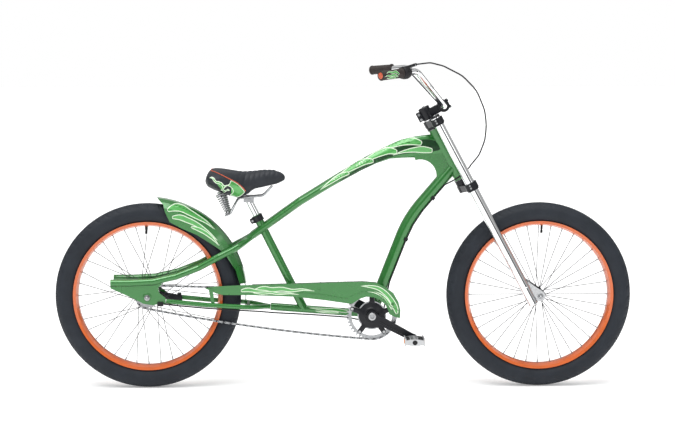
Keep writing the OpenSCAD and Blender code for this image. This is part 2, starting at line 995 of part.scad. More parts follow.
// Spokes: half of them to each flange, each leaning round the hub by its own angle.
module spoke_set(flange, half, lean) {
    rim_end = rim_seat_r - rim_depth - gap;
    color(dark) for (k = [0 : spokes - 1]) {
        side = k % 2 == 0 ? 1 : -1;
        way = floor(k / 2) % 2 == 0 ? 1 : -1;
        a = 360 * k / spokes;
        b = a + way * lean;
        y0 = side * half + way * (spoke_r + 1);
        rod(
            [(flange + 1.2) * cos(b), (flange + 1.2) * sin(b), y0],
            [rim_end * cos(a), rim_end * sin(a), side * 5],
            spoke_r,
            $fn = 16
        );
    }
}

hub_bore = axle_r + pin_fit;

// Hub barrel with two flanges, drawn as half a section and turned about its axle.
module hub_body(flange, half, body, reach) {
    color(dark) rotate_extrude() polygon([
        [hub_bore, -reach], [body * 0.75, -reach], [body, -half - 2], [flange, -half - 2],
        [flange, 2 - half], [body, 2 - half], [body, half - 2], [flange, half - 2],
        [flange, half + 2], [body, half + 2], [body * 0.75, reach], [hub_bore, reach]
    ]);
}

front_flange = 21;
front_flange_y = 34;
rear_flange = 34;
rear_flange_y = 27;

module front_tyre() { wheel_at(wheelbase) tyre(); }
module front_rim() { wheel_at(wheelbase) rim(); }
module front_spokes() { wheel_at(wheelbase) spoke_set(front_flange, front_flange_y, 12); }
module front_hub() { wheel_at(wheelbase) hub_body(front_flange, front_flange_y, 14, 47); }
module rear_tyre() { wheel_at(0) tyre(); }
module rear_rim() { wheel_at(0) rim(); }
module rear_spokes() { wheel_at(0) spoke_set(rear_flange, rear_flange_y, 55); }
module rear_hub() { wheel_at(0) hub_body(rear_flange, rear_flange_y, 28, 38); }

// Fork, in the steering frame

stem_z = head_len + cup_h + gap + crown_top_h + 4;
stem_h = 42;
steerer_top = stem_z + stem_h + 4;
crown_low_z = -cup_low_h - gap;
crown_top_z = head_len + cup_h + gap;
leg_top = crown_top_z + crown_top_h + 3;

module steerer() {
    color(silver) steer() translate([0, 0, crown_low_z])
        cylinder(h = steerer_top - crown_low_z, r = steerer_r);
}

module crown(z, h) {
    translate([0, 0, z]) difference() {
        linear_extrude(h) {
            circle(26);
            for (s = [-1, 1])
                translate([leg_fwd, s * leg_y]) circle(leg_r + 6);
            polygon([
                [-18, -20], [leg_fwd - leg_r - 2, -leg_y], [leg_fwd + leg_r + 4, -leg_y],
                [26, 0], [leg_fwd + leg_r + 4, leg_y], [leg_fwd - leg_r - 2, leg_y], [-18, 20]
            ]);
        }
        for (s = [-1, 1])
            translate([leg_fwd, s * leg_y, -1]) cylinder(h = h + 2, r = leg_r);
        if (z > 0) translate([0, 0, -1]) cylinder(h = h + 2, r = steerer_r);
    }
}

module lower_crown() { color(dark) steer() crown(crown_low_z - crown_low_h, crown_low_h); }
module upper_crown() { color(dark) steer() crown(crown_top_z, crown_top_h); }

module leg_solid(s) {
    translate([leg_fwd, s * leg_y, -leg_drop]) cylinder(h = leg_drop + leg_top, r = leg_r);
}

module fork_legs() {
    color(silver) steer() for (s = [-1, 1]) leg_solid(s);
}

// Front axle in the steering frame
axle_fwd = head_back * cos(rake) - (head_z - axle_z) * sin(rake);
axle_drop = -(head_back * sin(rake) + (head_z - axle_z) * cos(rake));
end_t = 6;

module fork_end(s) {
    difference() {
        translate([0, s * leg_y + end_t / 2, 0]) rotate([90, 0, 0]) linear_extrude(end_t) {
            translate([axle_fwd, axle_drop]) circle(17);
            polygon([
                [leg_fwd + 10, axle_drop + 66], [leg_fwd + leg_r + 3, axle_drop + 66],
                [axle_fwd + 17, axle_drop + 8], [axle_fwd + 12, axle_drop - 12],
                [leg_fwd + 10, axle_drop - 10]
            ]);
        }
        leg_solid(s);
        translate([axle_fwd, 100, axle_drop]) rotate([90, 0, 0]) cylinder(h = 200, r = axle_r);
    }
}

module fork_ends() {
    color(silver) steer() for (s = [-1, 1]) fork_end(s);
}

// Radius of the front axle's ends outside its nuts
axle_end_r = 4.7;

module front_axle() {
    nut_in = leg_y + end_t / 2 + gap;
    nut_out = nut_in + nut_h;
    color(silver) {
        disc(wheelbase, axle_z, -axle_half, axle_half, axle_end_r);
        disc(wheelbase, axle_z, -nut_out, nut_out, axle_r);
        for (s = [-1, 1])
            disc(wheelbase, axle_z, s < 0 ? -nut_out : nut_in, s < 0 ? -nut_in : nut_out, nut_r);
    }
}

clamp_z = stem_z + 18;
clamp_half = 24;

module stem() {
    color(dark) steer() difference() {
        union() {
            translate([0, 0, stem_z]) cylinder(h = stem_h, r = steerer_r + 6);
            translate([0, -16, stem_z + 4]) cube([stem_reach, 32, 28]);
            translate([stem_reach, clamp_half, clamp_z]) rotate([90, 0, 0])
                cylinder(h = 2 * clamp_half, r = bar_r + 8);
        }
        translate([0, 0, stem_z - 1]) cylinder(h = stem_h + 2, r = steerer_r);
        translate([stem_reach, 100, clamp_z]) rotate([90, 0, 0]) cylinder(h = 200, r = bar_r);
    }
}

// Handlebar: centre in the clamp, up and back to the bends, then out to the grips.
bar_mid = [head_x + stem_reach * cos(rake) - clamp_z * sin(rake),
    0, head_z + stem_reach * sin(rake) + clamp_z * cos(rake)];
bend_at = [926, 245, bar_mid.z + bar_rise];
grip_tip = [803, bar_w / 2, bend_at.z - 12];
grip_way = unit(bend_at - grip_tip);
bar_half = rounded(
    [bar_mid + [0, 26, 0], bar_mid + [0, 62, 0], bend_at, grip_tip],
    [0, 60, 45, 0], 5
);

function across(p, side) = [for (q = p) [q.x, side * q.y, q.z]];

module bar_side(side) {
    swept(across(bar_half, side), bar_r, bar_r, 16);
}

module handlebar() {
    color(silver) {
        translate([bar_mid.x, 26, bar_mid.z]) rotate([90, 0, 0]) cylinder(h = 52, r = bar_r);
        bar_side(-1);
        bar_side(1);
    }
}

// Places a piece on the bar's end, its z axis pointing inward along the grip.
module at_grip(side) {
    w = [grip_way.x, side * grip_way.y, grip_way.z];
    translate([grip_tip.x, side * grip_tip.y, grip_tip.z])
        rotate([0, acos(w.z), atan2(w.y, w.x)]) children();
}

grip_ribs = 9;

module grip() {
    translate([0, 0, -4 - gap]) cylinder(h = 4 + gap, r = grip_r + 1);
    rotate_extrude() polygon(concat(
        [[bar_r + 0.1, 0], [bar_r + 0.1, grip_len], [grip_r + 2, grip_len], [grip_r + 2, grip_len - 4]],
        [
            for (k = [grip_ribs - 1 : -1 : 0])
            let (z = 3 + (grip_len - 10) * k / grip_ribs, w = (grip_len - 10) / grip_ribs)
            each [[grip_r - 0.8, z + w], [grip_r, z + w * 0.8], [grip_r, z + w * 0.2], [grip_r - 0.8, z]]
        ],
        [[grip_r, 0]]
    ));
}

module grips() {
    color(dark) for (s = [-1, 1]) at_grip(s) grip();
}

shifter_len = 34;

shift_boss_r = 5;

module shifter() {
    color(dark) {
        at_grip(-1) translate([0, 0, grip_len + gap]) rotate_extrude() polygon([
            [bar_r + 0.1, 0], [grip_r + 1, 0], [grip_r + 5, 8], [grip_r + 5, 24],
            [grip_r + 1, shifter_len], [bar_r + 0.1, shifter_len]
        ]);
        at_grip(-1)
            rod([-17.3, 0, grip_len + 28], [-23.3, -1.6, grip_len + 68.7], shift_boss_r);
    }
}

loop_route = [
    [925, -248, 1142], [975, -217, 1147], [1022, -180, 1135], [1092, -130, 1100],
    [1145, -90, 1048], [1176, -62, 978], [1184, -44, 926], [1180, -36, 873],
    [1160, -34, 821], [1128, -34, 782]
];
loop_bends = [0, 60, 90, 120, 120, 120, 120, 90, 60, 0];

// The frame's run follows the down tube, goes under the bottom bracket and the lower tube,
// then along the right chain stay to the hub.
cable_lift = down_r - 3.7;
cable_side = -web_half - cable_r - gap;
stay_cable_y = -stay_y;
frame_route = concat(
    [for (s = [530, 470, 410, 350, 290, 210, 130]) down_at(s, cable_lift) + [0, cable_side, 0]],
    [
        [838, -12, 320], [826, -8, 262], [800, -6, 227], [765, -6, 232], [700, -6, 246],
        [574, -8, 256], [440, -12, 264], [392, -36, 272], [362, -58, 277], [336, stay_cable_y, 280],
        [207, stay_cable_y, 288.4], [100, stay_cable_y - 2, 299], [58, -77, 305]
    ]
);

module shift_cable_loop() {
    color(dark) swept(rounded(loop_route, loop_bends, 2), cable_r, cable_r, 8);
}

module shift_cable_frame() {
    color(dark) swept(frame_route, cable_r, cable_r, 8);
}

module along_cable(k) {
    way = frame_route[k] - frame_route[k + 1];
    translate(frame_route[k]) rotate([0, atan2(way.x, way.z), 0]) children();
}

// Two clips hold the cable to the down tube, and an anchor ends it at the right dropout.
module cable_guides() {
    color(dark) {
        difference() {
            for (k = [1, 4])
                along_cable(k) translate([-7, -cable_r - 2.5, -6])
                    cube([cable_r + 10, 2 * cable_r + 5, 12]);
            for (k = [1, 4])
                along_cable(k) cylinder(h = 40, r = cable_r + gap, center = true);
            down_solid(down_r + gap);
        }
        translate([36, -82, 298]) cube([21, 82 - stay_y - dropout_t / 2 - gap, 14]);
    }
}

bike() head_tube();
bike() headset_cups();
bike() top_tube();
bike() head_web();
bike() down_tube();
bike() seat_tube();
bike() lower_tube();
bike() bottom_bracket_shell();
bike() seatstay_right();
bike() seatstay_left();
bike() chainstay_right();
bike() chainstay_left();
bike() dropout_right();
bike() dropout_left();
bike() seat_collar();
bike() seatpost();
bike() saddle_rails();
bike() saddle_springs();
bike() saddle();
bike() rear_fender();
bike() fender_brackets();
bike() chain_guard();
bike() chain_guard_bracket();
bike() chain();
bike() rear_axle();
bike() coaster_arm();
bike() shift_cable_frame();
bike() cable_guides();
bike() steerer();
bike() lower_crown();
bike() upper_crown();
bike() fork_legs();
bike() fork_ends();
bike() front_axle();
bike() stem();
bike() handlebar();
bike() grips();
bike() shifter();
bike() shift_cable_loop();
bike() front_tyre();
bike() front_rim();
bike() front_spokes();
bike() front_hub();
bike() rear_tyre();
bike() rear_rim();
bike() rear_spokes();
bike() rear_hub();
bike() sprocket();
bike() chainring();
bike() crank_arms();
bike() crank_spindle();
bike() pedal_right();
bike() pedal_left();
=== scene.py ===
"""Chopper bicycle: looks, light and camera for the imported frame."""

import math
import random

import bmesh
import bpy
from mathutils import Matrix, Vector
from mathutils.bvhtree import BVHTree


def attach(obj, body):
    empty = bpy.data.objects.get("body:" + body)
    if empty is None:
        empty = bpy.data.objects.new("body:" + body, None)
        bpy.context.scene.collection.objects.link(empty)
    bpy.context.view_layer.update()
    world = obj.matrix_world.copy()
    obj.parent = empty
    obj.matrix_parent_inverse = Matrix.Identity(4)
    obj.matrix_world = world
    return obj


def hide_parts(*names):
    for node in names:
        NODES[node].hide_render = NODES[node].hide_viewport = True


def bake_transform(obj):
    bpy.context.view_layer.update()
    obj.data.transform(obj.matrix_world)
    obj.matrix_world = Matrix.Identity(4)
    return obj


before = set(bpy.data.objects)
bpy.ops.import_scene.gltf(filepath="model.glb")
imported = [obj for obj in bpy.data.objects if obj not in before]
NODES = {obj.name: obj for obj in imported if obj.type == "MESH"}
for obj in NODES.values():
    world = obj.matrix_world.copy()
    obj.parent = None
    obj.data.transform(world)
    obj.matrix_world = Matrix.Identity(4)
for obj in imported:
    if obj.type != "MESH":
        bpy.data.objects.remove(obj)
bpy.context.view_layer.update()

bl_info = {
    "name": "Chopper bicycle looks",
    "version": (1, 0, 0),
    "blender": (4, 5, 0),
    "location": "View3D > Sidebar > Bicycle",
    "description": "Detailed pieces, materials and studio for the chopper bicycle",
    "category": "Object",
}

# Places in the bicycle's own millimetres: the rear axle is over x = 0, the floor is z = 0
RIDER = (300.0, 764.0)
WHEELBASE = 1376.0
AXLE_Z = 326.0
CRANK = (785.0, 259.0)
CHAIN_Y = 47.0
HEAD = (1099.0, 735.0)
RAKE = math.radians(28.0)
PITCH = 12.7
RING_TEETH = 42
COG_TEETH = 20
CHAIN_SAG = 12.0
TYRE_R = 326.0
TYRE_SECTION = 37.0
RIM_SEAT = 262.0


def at(x, y, z):
    """A point of the bicycle in millimetres, as a row-frame point in metres."""
    return Vector(((x - RIDER[0]) / 1000.0, y / 1000.0, (z - RIDER[1]) / 1000.0))


def steer_at(fwd, y, up):
    """A point given forward of, beside and up the steering axis, in millimetres."""
    return at(
        HEAD[0] + fwd * math.cos(RAKE) - up * math.sin(RAKE),
        y,
        HEAD[1] + fwd * math.sin(RAKE) + up * math.cos(RAKE),
    )


# Materials


class Paint:
    """A node material under construction: a Principled shader and short calls for what feeds it."""

    def __init__(self, name, base, rough=0.5, metal=0.0, coat=0.0, spec=0.5):
        self.mat = bpy.data.materials.new(name)
        self.mat.use_nodes = True
        self.tree = self.mat.node_tree
        self.shader = self.tree.nodes["Principled BSDF"]
        self.shader.inputs["Base Color"].default_value = (*base, 1.0)
        self.shader.inputs["Roughness"].default_value = rough
        self.shader.inputs["Metallic"].default_value = metal
        self.shader.inputs["Coat Weight"].default_value = coat
        self.shader.inputs["Coat Roughness"].default_value = 0.06
        self.shader.inputs["Specular IOR Level"].default_value = spec
        self.coords = self.tree.nodes.new("ShaderNodeTexCoord").outputs["Object"]

    def node(self, kind, **values):
        made = self.tree.nodes.new(kind)
        for key, value in values.items():
            setattr(made, key, value)
        return made

    def link(self, a, b):
        self.tree.links.new(a, b)

    def noise(self, scale, detail=4.0):
        made = self.node("ShaderNodeTexNoise")
        made.inputs["Scale"].default_value = scale
        made.inputs["Detail"].default_value = detail
        self.link(self.coords, made.inputs["Vector"])
        return made.outputs["Fac"]

    def ramp(self, value, stops):
        made = self.node("ShaderNodeValToRGB")
        items = made.color_ramp.elements
        while len(items) < len(stops):
            items.new(0.5)
        for item, (place, colour) in zip(items, stops):
            item.position = place
            item.color = (*colour, 1.0)
        self.link(value, made.inputs["Fac"])
        return made.outputs["Color"]

    def tint(self, value, stops):
        self.link(self.ramp(value, stops), self.shader.inputs["Base Color"])
        return self

    def rough(self, value, low, high):
        made = self.node("ShaderNodeMapRange")
        made.inputs["To Min"].default_value = low
        made.inputs["To Max"].default_value = high
        self.link(value, made.inputs["Value"])
        self.link(made.outputs["Result"], self.shader.inputs["Roughness"])
        return self

    def bump(self, value, depth, strength=1.0):
        made = self.node("ShaderNodeBump")
        made.inputs["Strength"].default_value = strength
        made.inputs["Distance"].default_value = depth
        self.link(value, made.inputs["Height"])
        self.link(made.outputs["Normal"], self.shader.inputs["Normal"])
        return self


def shade(colour, factor):
    return tuple(min(1.0, c * factor) for c in colour)


def green_paint(colours):
    base = tuple(colours.green)
    p = Paint("green_lacquer", base, 0.28, 0.35, 1.0)
    flake = p.noise(900.0, 2.0)
    p.tint(flake, [(0.3, shade(base, 0.8)), (0.75, shade(base, 1.25))])
    return p.rough(p.noise(14.0), 0.22, 0.34).mat


def pale_paint(colours):
    base = tuple(colours.pale)
    p = Paint("pale_green_lacquer", base, 0.3, 0.15, 1.0)
    p.tint(p.noise(60.0), [(0.35, shade(base, 0.88)), (0.7, shade(base, 1.1))])
    return p.mat


def line_paint(colours):
    p = Paint("white_pinstripe", tuple(colours.line), 0.35, 0.0, 0.6)
    p.tint(p.noise(300.0), [(0.3, shade(tuple(colours.line), 0.9)), (0.7, tuple(colours.line))])
    return p.mat


def shadow_paint(colours):
    p = Paint("dark_green_flame", tuple(colours.shadow), 0.5, 0.0, 0.1, 0.2)
    p.tint(p.noise(80.0), [(0.3, shade(tuple(colours.shadow), 0.7)), (0.7, tuple(colours.shadow))])
    return p.mat


def orange_paint(colours):
    base = tuple(colours.orange)
    p = Paint("orange_rim_paint", base, 0.32, 0.0, 0.7)
    p.tint(p.noise(40.0), [(0.35, shade(base, 0.93)), (0.7, shade(base, 1.05))])
    return p.rough(p.noise(22.0), 0.26, 0.4).mat


def chrome(colours):
    p = Paint("chrome_plate", (0.86, 0.87, 0.88), 0.06, 1.0)
    return p.rough(p.noise(30.0), 0.04, 0.1).mat


def steel(colours):
    p = Paint("bright_steel", (0.4, 0.41, 0.42), 0.3, 1.0)
    p.tint(p.noise(120.0), [(0.3, (0.3, 0.31, 0.32)), (0.7, (0.46, 0.47, 0.48))])
    return p.rough(p.noise(60.0), 0.22, 0.42).mat


def alloy(colours):
    p = Paint("brushed_alloy", (0.56, 0.57, 0.58), 0.3, 1.0)
    p.rough(p.noise(90.0), 0.28, 0.45)
    return p.bump(p.noise(700.0, 2.0), 0.00005, 0.4).mat


def black_paint(colours):
    p = Paint("satin_black_paint", (0.008, 0.009, 0.012), 0.3, 0.0, 0.0, 0.3)
    return p.rough(p.noise(35.0), 0.24, 0.38).mat


def black_plastic(colours):
    p = Paint("black_plastic", (0.01, 0.01, 0.012), 0.5, 0.0, 0.0, 0.3)
    return p.bump(p.noise(1400.0, 2.0), 0.00006, 0.5).mat


def dark_spoke(colours):
    p = Paint("dark_spoke_steel", (0.035, 0.036, 0.04), 0.4, 0.5)
    return p.rough(p.noise(80.0), 0.25, 0.4).mat


def rubber(colours):
    base = tuple(colours.tyre)
    p = Paint("tyre_rubber", base, 0.62, 0.0, 0.0, 0.25)
    p.tint(p.noise(18.0), [(0.3, shade(base, 0.85)), (0.7, shade(base, 1.15))])
    return p.bump(p.noise(900.0, 3.0), 0.00012, 0.6).rough(p.noise(40.0), 0.52, 0.7).mat


def grip_rubber(colours):
    base = tuple(colours.grip)
    p = Paint("grip_rubber", base, 0.6, 0.0, 0.0, 0.3)
    p.tint(p.noise(50.0), [(0.3, shade(base, 0.75)), (0.7, shade(base, 1.25))])
    return p.bump(p.noise(1200.0, 2.0), 0.0001, 0.6).mat


def saddle_vinyl(colours):
    base = tuple(colours.saddle)
    p = Paint("saddle_vinyl", base, 0.5, 0.0, 0.0, 0.3)
    grain = p.node("ShaderNodeTexVoronoi", feature="DISTANCE_TO_EDGE")
    grain.inputs["Scale"].default_value = 900.0
    p.link(p.coords, grain.inputs["Vector"])
    p.tint(p.noise(25.0), [(0.3, shade(base, 0.85)), (0.75, shade(base, 1.2))])
    return p.rough(p.noise(60.0), 0.42, 0.58).bump(grain.outputs["Distance"], 0.0003, 0.5).mat


def piping(colours):
    p = Paint("red_piping", (0.4, 0.055, 0.03), 0.45)
    p.tint(p.noise(200.0), [(0.3, (0.45, 0.07, 0.03)), (0.7, (0.62, 0.12, 0.05))])
    return p.mat


def reflector(colours):
    p = Paint("amber_reflector", (0.75, 0.22, 0.02), 0.18, 0.0, 0.6)
    cells = p.node("ShaderNodeTexVoronoi", feature="DISTANCE_TO_EDGE")
    cells.inputs["Scale"].default_value = 500.0
    p.link(p.coords, cells.inputs["Vector"])
    return p.bump(cells.outputs["Distance"], 0.0004, 0.7).mat


def floor_paint(colours):
    p = Paint("studio_floor", (0.93, 0.93, 0.93), 0.7, 0.0, 0.0, 0.1)
    p.shader.inputs["Emission Color"].default_value = (1.0, 1.0, 1.0, 1.0)
    p.shader.inputs["Emission Strength"].default_value = 0.25
    p.tint(p.noise(2.0), [(0.3, (0.92, 0.92, 0.92)), (0.7, (0.94, 0.94, 0.94))])
    return p.mat


MAKERS = {
    "green": green_paint, "pale": pale_paint, "line": line_paint, "shadow": shadow_paint,
    "orange": orange_paint, "chrome": chrome, "steel": steel, "alloy": alloy,
    "black": black_paint, "plastic": black_plastic, "spoke": dark_spoke, "rubber": rubber,
    "grip": grip_rubber, "vinyl": saddle_vinyl, "piping": piping, "reflector": reflector,
    "floor": floor_paint,
}
MADE = {}


def material(name):
    """The named material, made once."""
    if name not in MADE:
        MADE[name] = MAKERS[name](bpy.context.scene.bike_colours)
    return MADE[name]


# Shapes, in the bicycle's millimetres: x forward from the rear axle, z up from the floor

TO_ROW = Matrix.Scale(0.001, 4) @ Matrix.Translation((-RIDER[0], 0.0, -RIDER[1]))
FROM_ROW = TO_ROW.inverted()
STEER = Matrix.Translation((HEAD[0], 0.0, HEAD[1])) @ Matrix.Rotation(-RAKE, 4, "Y")


def span(p, q):
    """The place whose z axis runs from p to q."""
    p, q = Vector(p), Vector(q)
    return Matrix.Translation(p) @ (q - p).to_track_quat("Z", "Y").to_matrix().to_4x4()


def axle(x, z, y=0.0, turn=0.0):
    """The place whose z axis points to the rider's left, turned by some degrees."""
    return (
        Matrix.Translation((x, y, z))
        @ Matrix.Rotation(math.radians(-90.0), 4, "X")
        @ Matrix.Rotation(math.radians(turn), 4, "Z")
    )


def add(bm, part, place=None, slot=0):
    """Puts a part into bm at its place, with one material slot."""
    for face in part.faces:
        face.material_index = slot
        face.smooth = True
    mesh = bpy.data.meshes.new("part")
    part.to_mesh(mesh)
    part.free()
    if place is not None:
        mesh.transform(place)
        if place.determinant() < 0:
            mesh.flip_normals()
    bm.from_mesh(mesh)
    bpy.data.meshes.remove(mesh)


def add_all(bm, part, places, slot=0):
    """Puts copies of one part at several places."""
    for face in part.faces:
        face.material_index = slot
        face.smooth = True
    mesh = bpy.data.meshes.new("part")
    part.to_mesh(mesh)
    part.free()
    for place in places:
        copy = mesh.copy()
        copy.transform(place)
        if place.determinant() < 0:
            copy.flip_normals()
        bm.from_mesh(copy)
        bpy.data.meshes.remove(copy)
    bpy.data.meshes.remove(mesh)


def spun(profile, steps=48, closed=False):
    """A round part from a line of (radius, height) points."""
    part = bmesh.new()
    verts = [part.verts.new((r, 0.0, h)) for r, h in profile]
    edges = [part.edges.new(pair) for pair in zip(verts, verts[1:])]
    if closed:
        edges.append(part.edges.new((verts[-1], verts[0])))
    bmesh.ops.spin(
        part, geom=verts + edges, cent=(0, 0, 0), axis=(0, 0, 1), dvec=(0, 0, 0),
        angle=math.tau, steps=steps, use_merge=True, use_duplicate=False,
    )
    bmesh.ops.remove_doubles(part, verts=part.verts, dist=0.001)
    bmesh.ops.recalc_face_normals(part, faces=part.faces)
    return part


def rounded_disc(radius, height, edge=0.6, steps=32, bore=0.0):
    """A washer or a cap: a disc with eased edges, from z = 0 up."""
    line = [
        (bore, 0.0), (radius - edge, 0.0), (radius, edge), (radius, height - edge),
        (radius - edge, height), (bore, height),
    ]
    return spun(line, steps, bore > 0)


def hex_part(across, height, dome=0.0, bore=0.0):
    """A bolt head or a nut, from z = 0 up, with its corners eased."""
    part = bmesh.new()
    radius = across / math.sqrt(3.0)
    made = bmesh.ops.create_cone(
        part, cap_ends=True, segments=6, radius1=radius, radius2=radius, depth=height,
        matrix=Matrix.Translation((0, 0, height / 2)),
    )
    edges = list({e for v in made["verts"] for e in v.link_edges})
    bmesh.ops.bevel(
        part, geom=edges, offset=min(0.8, height * 0.15), segments=2, profile=0.5,
        affect="EDGES", material=-1,
    )
    if dome > 0:
        cap = spun([(0.0, dome), (across * 0.2, dome * 0.8), (across * 0.32, 0.0)], 20)
        mesh = bpy.data.meshes.new("cap")
        cap.to_mesh(mesh)
        cap.free()
        mesh.transform(Matrix.Translation((0, 0, height)))
        part.from_mesh(mesh)
        bpy.data.meshes.remove(mesh)
    return part


def bar(p, q, radius, sides=12):
    """A plain rod from p to q with eased ends."""
    length = (Vector(q) - Vector(p)).length
    part = rounded_disc(radius, length, min(0.5, radius * 0.3), sides)
    part.transform(span(p, q))
    return part


def plate(outline, thick, edge=0.8, segments=2):
    """A flat plate from an outline of (x, z) points, centred on y = 0, with bevelled edges."""
    part = bmesh.new()
    verts = [part.verts.new((x, -thick / 2, z)) for x, z in outline]
    face = part.faces.new(verts)
    made = bmesh.ops.extrude_face_region(part, geom=[face])
    moved = [v for v in made["geom"] if isinstance(v, bmesh.types.BMVert)]
    bmesh.ops.translate(part, verts=moved, vec=(0, thick, 0))
    bmesh.ops.recalc_face_normals(part, faces=part.faces)
    if edge > 0:
        rims = [e for e in part.edges if abs(e.verts[0].co.y - e.verts[1].co.y) < 1e-6]
        bmesh.ops.bevel(
            part, geom=rims, offset=edge, segments=segments, profile=0.5,
            affect="EDGES", material=-1,
        )
    return part


def block(size, edge=0.8, segments=2):
    """A box centred on the origin with bevelled edges."""
    part = bmesh.new()
    bmesh.ops.create_cube(part, size=1.0, matrix=Matrix.Diagonal((*size, 1.0)))
    bmesh.ops.bevel(
        part, geom=list(part.edges), offset=edge, segments=segments, profile=0.5,
        affect="EDGES", material=-1,
    )
    return part


def smooth_line(points, steps=8, closed=False):
    """A smooth line through the points."""
    pts = [Vector(p) for p in points]
    n = len(pts)
    out = []
    for i in range(n if closed else n - 1):
        if closed:
            a, b, c, d = (pts[(i + k) % n] for k in (-1, 0, 1, 2))
        else:
            a, b, c, d = pts[max(i - 1, 0)], pts[i], pts[i + 1], pts[min(i + 2, n - 1)]
        for k in range(steps):
            t = k / steps
            out.append(0.5 * (
                2 * b + (c - a) * t + (2 * a - 5 * b + 4 * c - d) * t * t
                + (3 * b - a - 3 * c + d) * t ** 3
            ))
    if not closed:
        out.append(pts[-1])
    return out


def tube(points, radius, sides=10, closed=False):
    """A round tube along points: a circle is extruded from place to place."""
    pts = [Vector(p) for p in points]
    n = len(pts)
    radii = radius if isinstance(radius, (list, tuple)) else [radius] * n
    part = bmesh.new()
    ways = []
    for i in range(n):
        a = pts[i - 1] if closed or i else pts[0]
        b = pts[(i + 1) % n] if closed or i < n - 1 else pts[-1]
        ways.append((b - a).normalized())
    turn = ways[0].to_track_quat("Z", "Y")
    last = Matrix.Translation(pts[0]) @ turn.to_matrix().to_4x4()
    made = bmesh.ops.create_circle(part, segments=sides, radius=1.0)
    ring = made["verts"]
    bmesh.ops.transform(
        part, verts=ring, matrix=last @ Matrix.Diagonal((radii[0], radii[0], 1.0, 1.0))
    )
    edges = list({e for v in ring for e in v.link_edges})
    first = edges
    way = ways[0]
    for i in range(1, n):
        grown = bmesh.ops.extrude_edge_only(part, edges=edges)
        verts = [v for v in grown["geom"] if isinstance(v, bmesh.types.BMVert)]
        edges = [e for e in grown["geom"] if isinstance(e, bmesh.types.BMEdge)]
        bend = way.rotation_difference(ways[i]).to_matrix().to_4x4()
        scale = Matrix.Scale(radii[i] / radii[i - 1], 4)
        step = Matrix.Translation(pts[i]) @ bend @ scale @ Matrix.Translation(-pts[i - 1])
        bmesh.ops.transform(part, verts=verts, matrix=step)
        way = ways[i]
    if closed:
        bmesh.ops.bridge_loops(part, edges=first + edges)
    else:
        bmesh.ops.holes_fill(part, edges=first + edges, sides=0)
    bmesh.ops.recalc_face_normals(part, faces=part.faces)
    return part


def piece(name, bm, finishes, body, sharp=35.0, stands_for=()):
    """Makes the object of a finished bmesh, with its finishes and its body."""
    if not bm.faces:
        raise RuntimeError(name + " came out empty")
    mesh = bpy.data.meshes.new(name)
    bm.to_mesh(mesh)
    bm.free()
    mesh.transform(TO_ROW)
    for finish in finishes:
        mesh.materials.append(material(finish))
    mesh.set_sharp_from_angle(angle=math.radians(sharp))
    obj = bpy.data.objects.new(name, mesh)
    bpy.context.scene.collection.objects.link(obj)
    if body:
        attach(obj, body)
    if stands_for:
        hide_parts(*stands_for)
    return obj


def node_mesh(name):
    """A merged copy of a node's mesh, in millimetres."""
    bm = bmesh.new()
    bm.from_mesh(NODES[name].data)
    bmesh.ops.remove_doubles(bm, verts=bm.verts, dist=0.00001)
    bm.transform(FROM_ROW)
    return bm


def surface(*names):
    """What a ray from the side meets: the nodes' surfaces, in millimetres."""
    bm = bmesh.new()
    for name in names:
        mesh = NODES[name].data.copy()
        mesh.transform(FROM_ROW)
        bm.from_mesh(mesh)
        bpy.data.meshes.remove(mesh)
    tree = BVHTree.FromBMesh(bm)
    bm.free()
    return tree


def side_hit(tree, x, z, side):
    """Where a ray from one side meets the surface, and the surface's direction there."""
    hit, normal, _, _ = tree.ray_cast(Vector((x, side * 400.0, z)), Vector((0, -side, 0)))
    if hit is None:
        return None, None
    if normal.y * side < 0:
        normal = -normal
    return hit, normal


# What a user may change


class BikeColours(bpy.types.PropertyGroup):
    green: bpy.props.FloatVectorProperty(
        name="Green", description="Lacquer of the frame and the guards",
        subtype="COLOR", size=3, min=0.0, max=1.0, default=(0.018, 0.175, 0.024))
    pale: bpy.props.FloatVectorProperty(
        name="Pale green", description="Light green of the flames",
        subtype="COLOR", size=3, min=0.0, max=1.0, default=(0.07, 0.37, 0.07))
    line: bpy.props.FloatVectorProperty(
        name="Pinstripe", description="Thin white line round the flames",
        subtype="COLOR", size=3, min=0.0, max=1.0, default=(0.72, 0.86, 0.66))
    shadow: bpy.props.FloatVectorProperty(
        name="Flame gaps", description="Dark green between the flames",
        subtype="COLOR", size=3, min=0.0, max=1.0, default=(0.008, 0.05, 0.014))
    orange: bpy.props.FloatVectorProperty(
        name="Orange", description="Paint of the rims",
        subtype="COLOR", size=3, min=0.0, max=1.0, default=(0.62, 0.118, 0.018))
    tyre: bpy.props.FloatVectorProperty(
        name="Tyre", description="Rubber of the tyres",
        subtype="COLOR", size=3, min=0.0, max=1.0, default=(0.018, 0.022, 0.029))
    grip: bpy.props.FloatVectorProperty(
        name="Grip", description="Rubber of the grips",
        subtype="COLOR", size=3, min=0.0, max=1.0, default=(0.035, 0.028, 0.026))
    saddle: bpy.props.FloatVectorProperty(
        name="Saddle", description="Cover of the saddle",
        subtype="COLOR", size=3, min=0.0, max=1.0, default=(0.02, 0.023, 0.029))


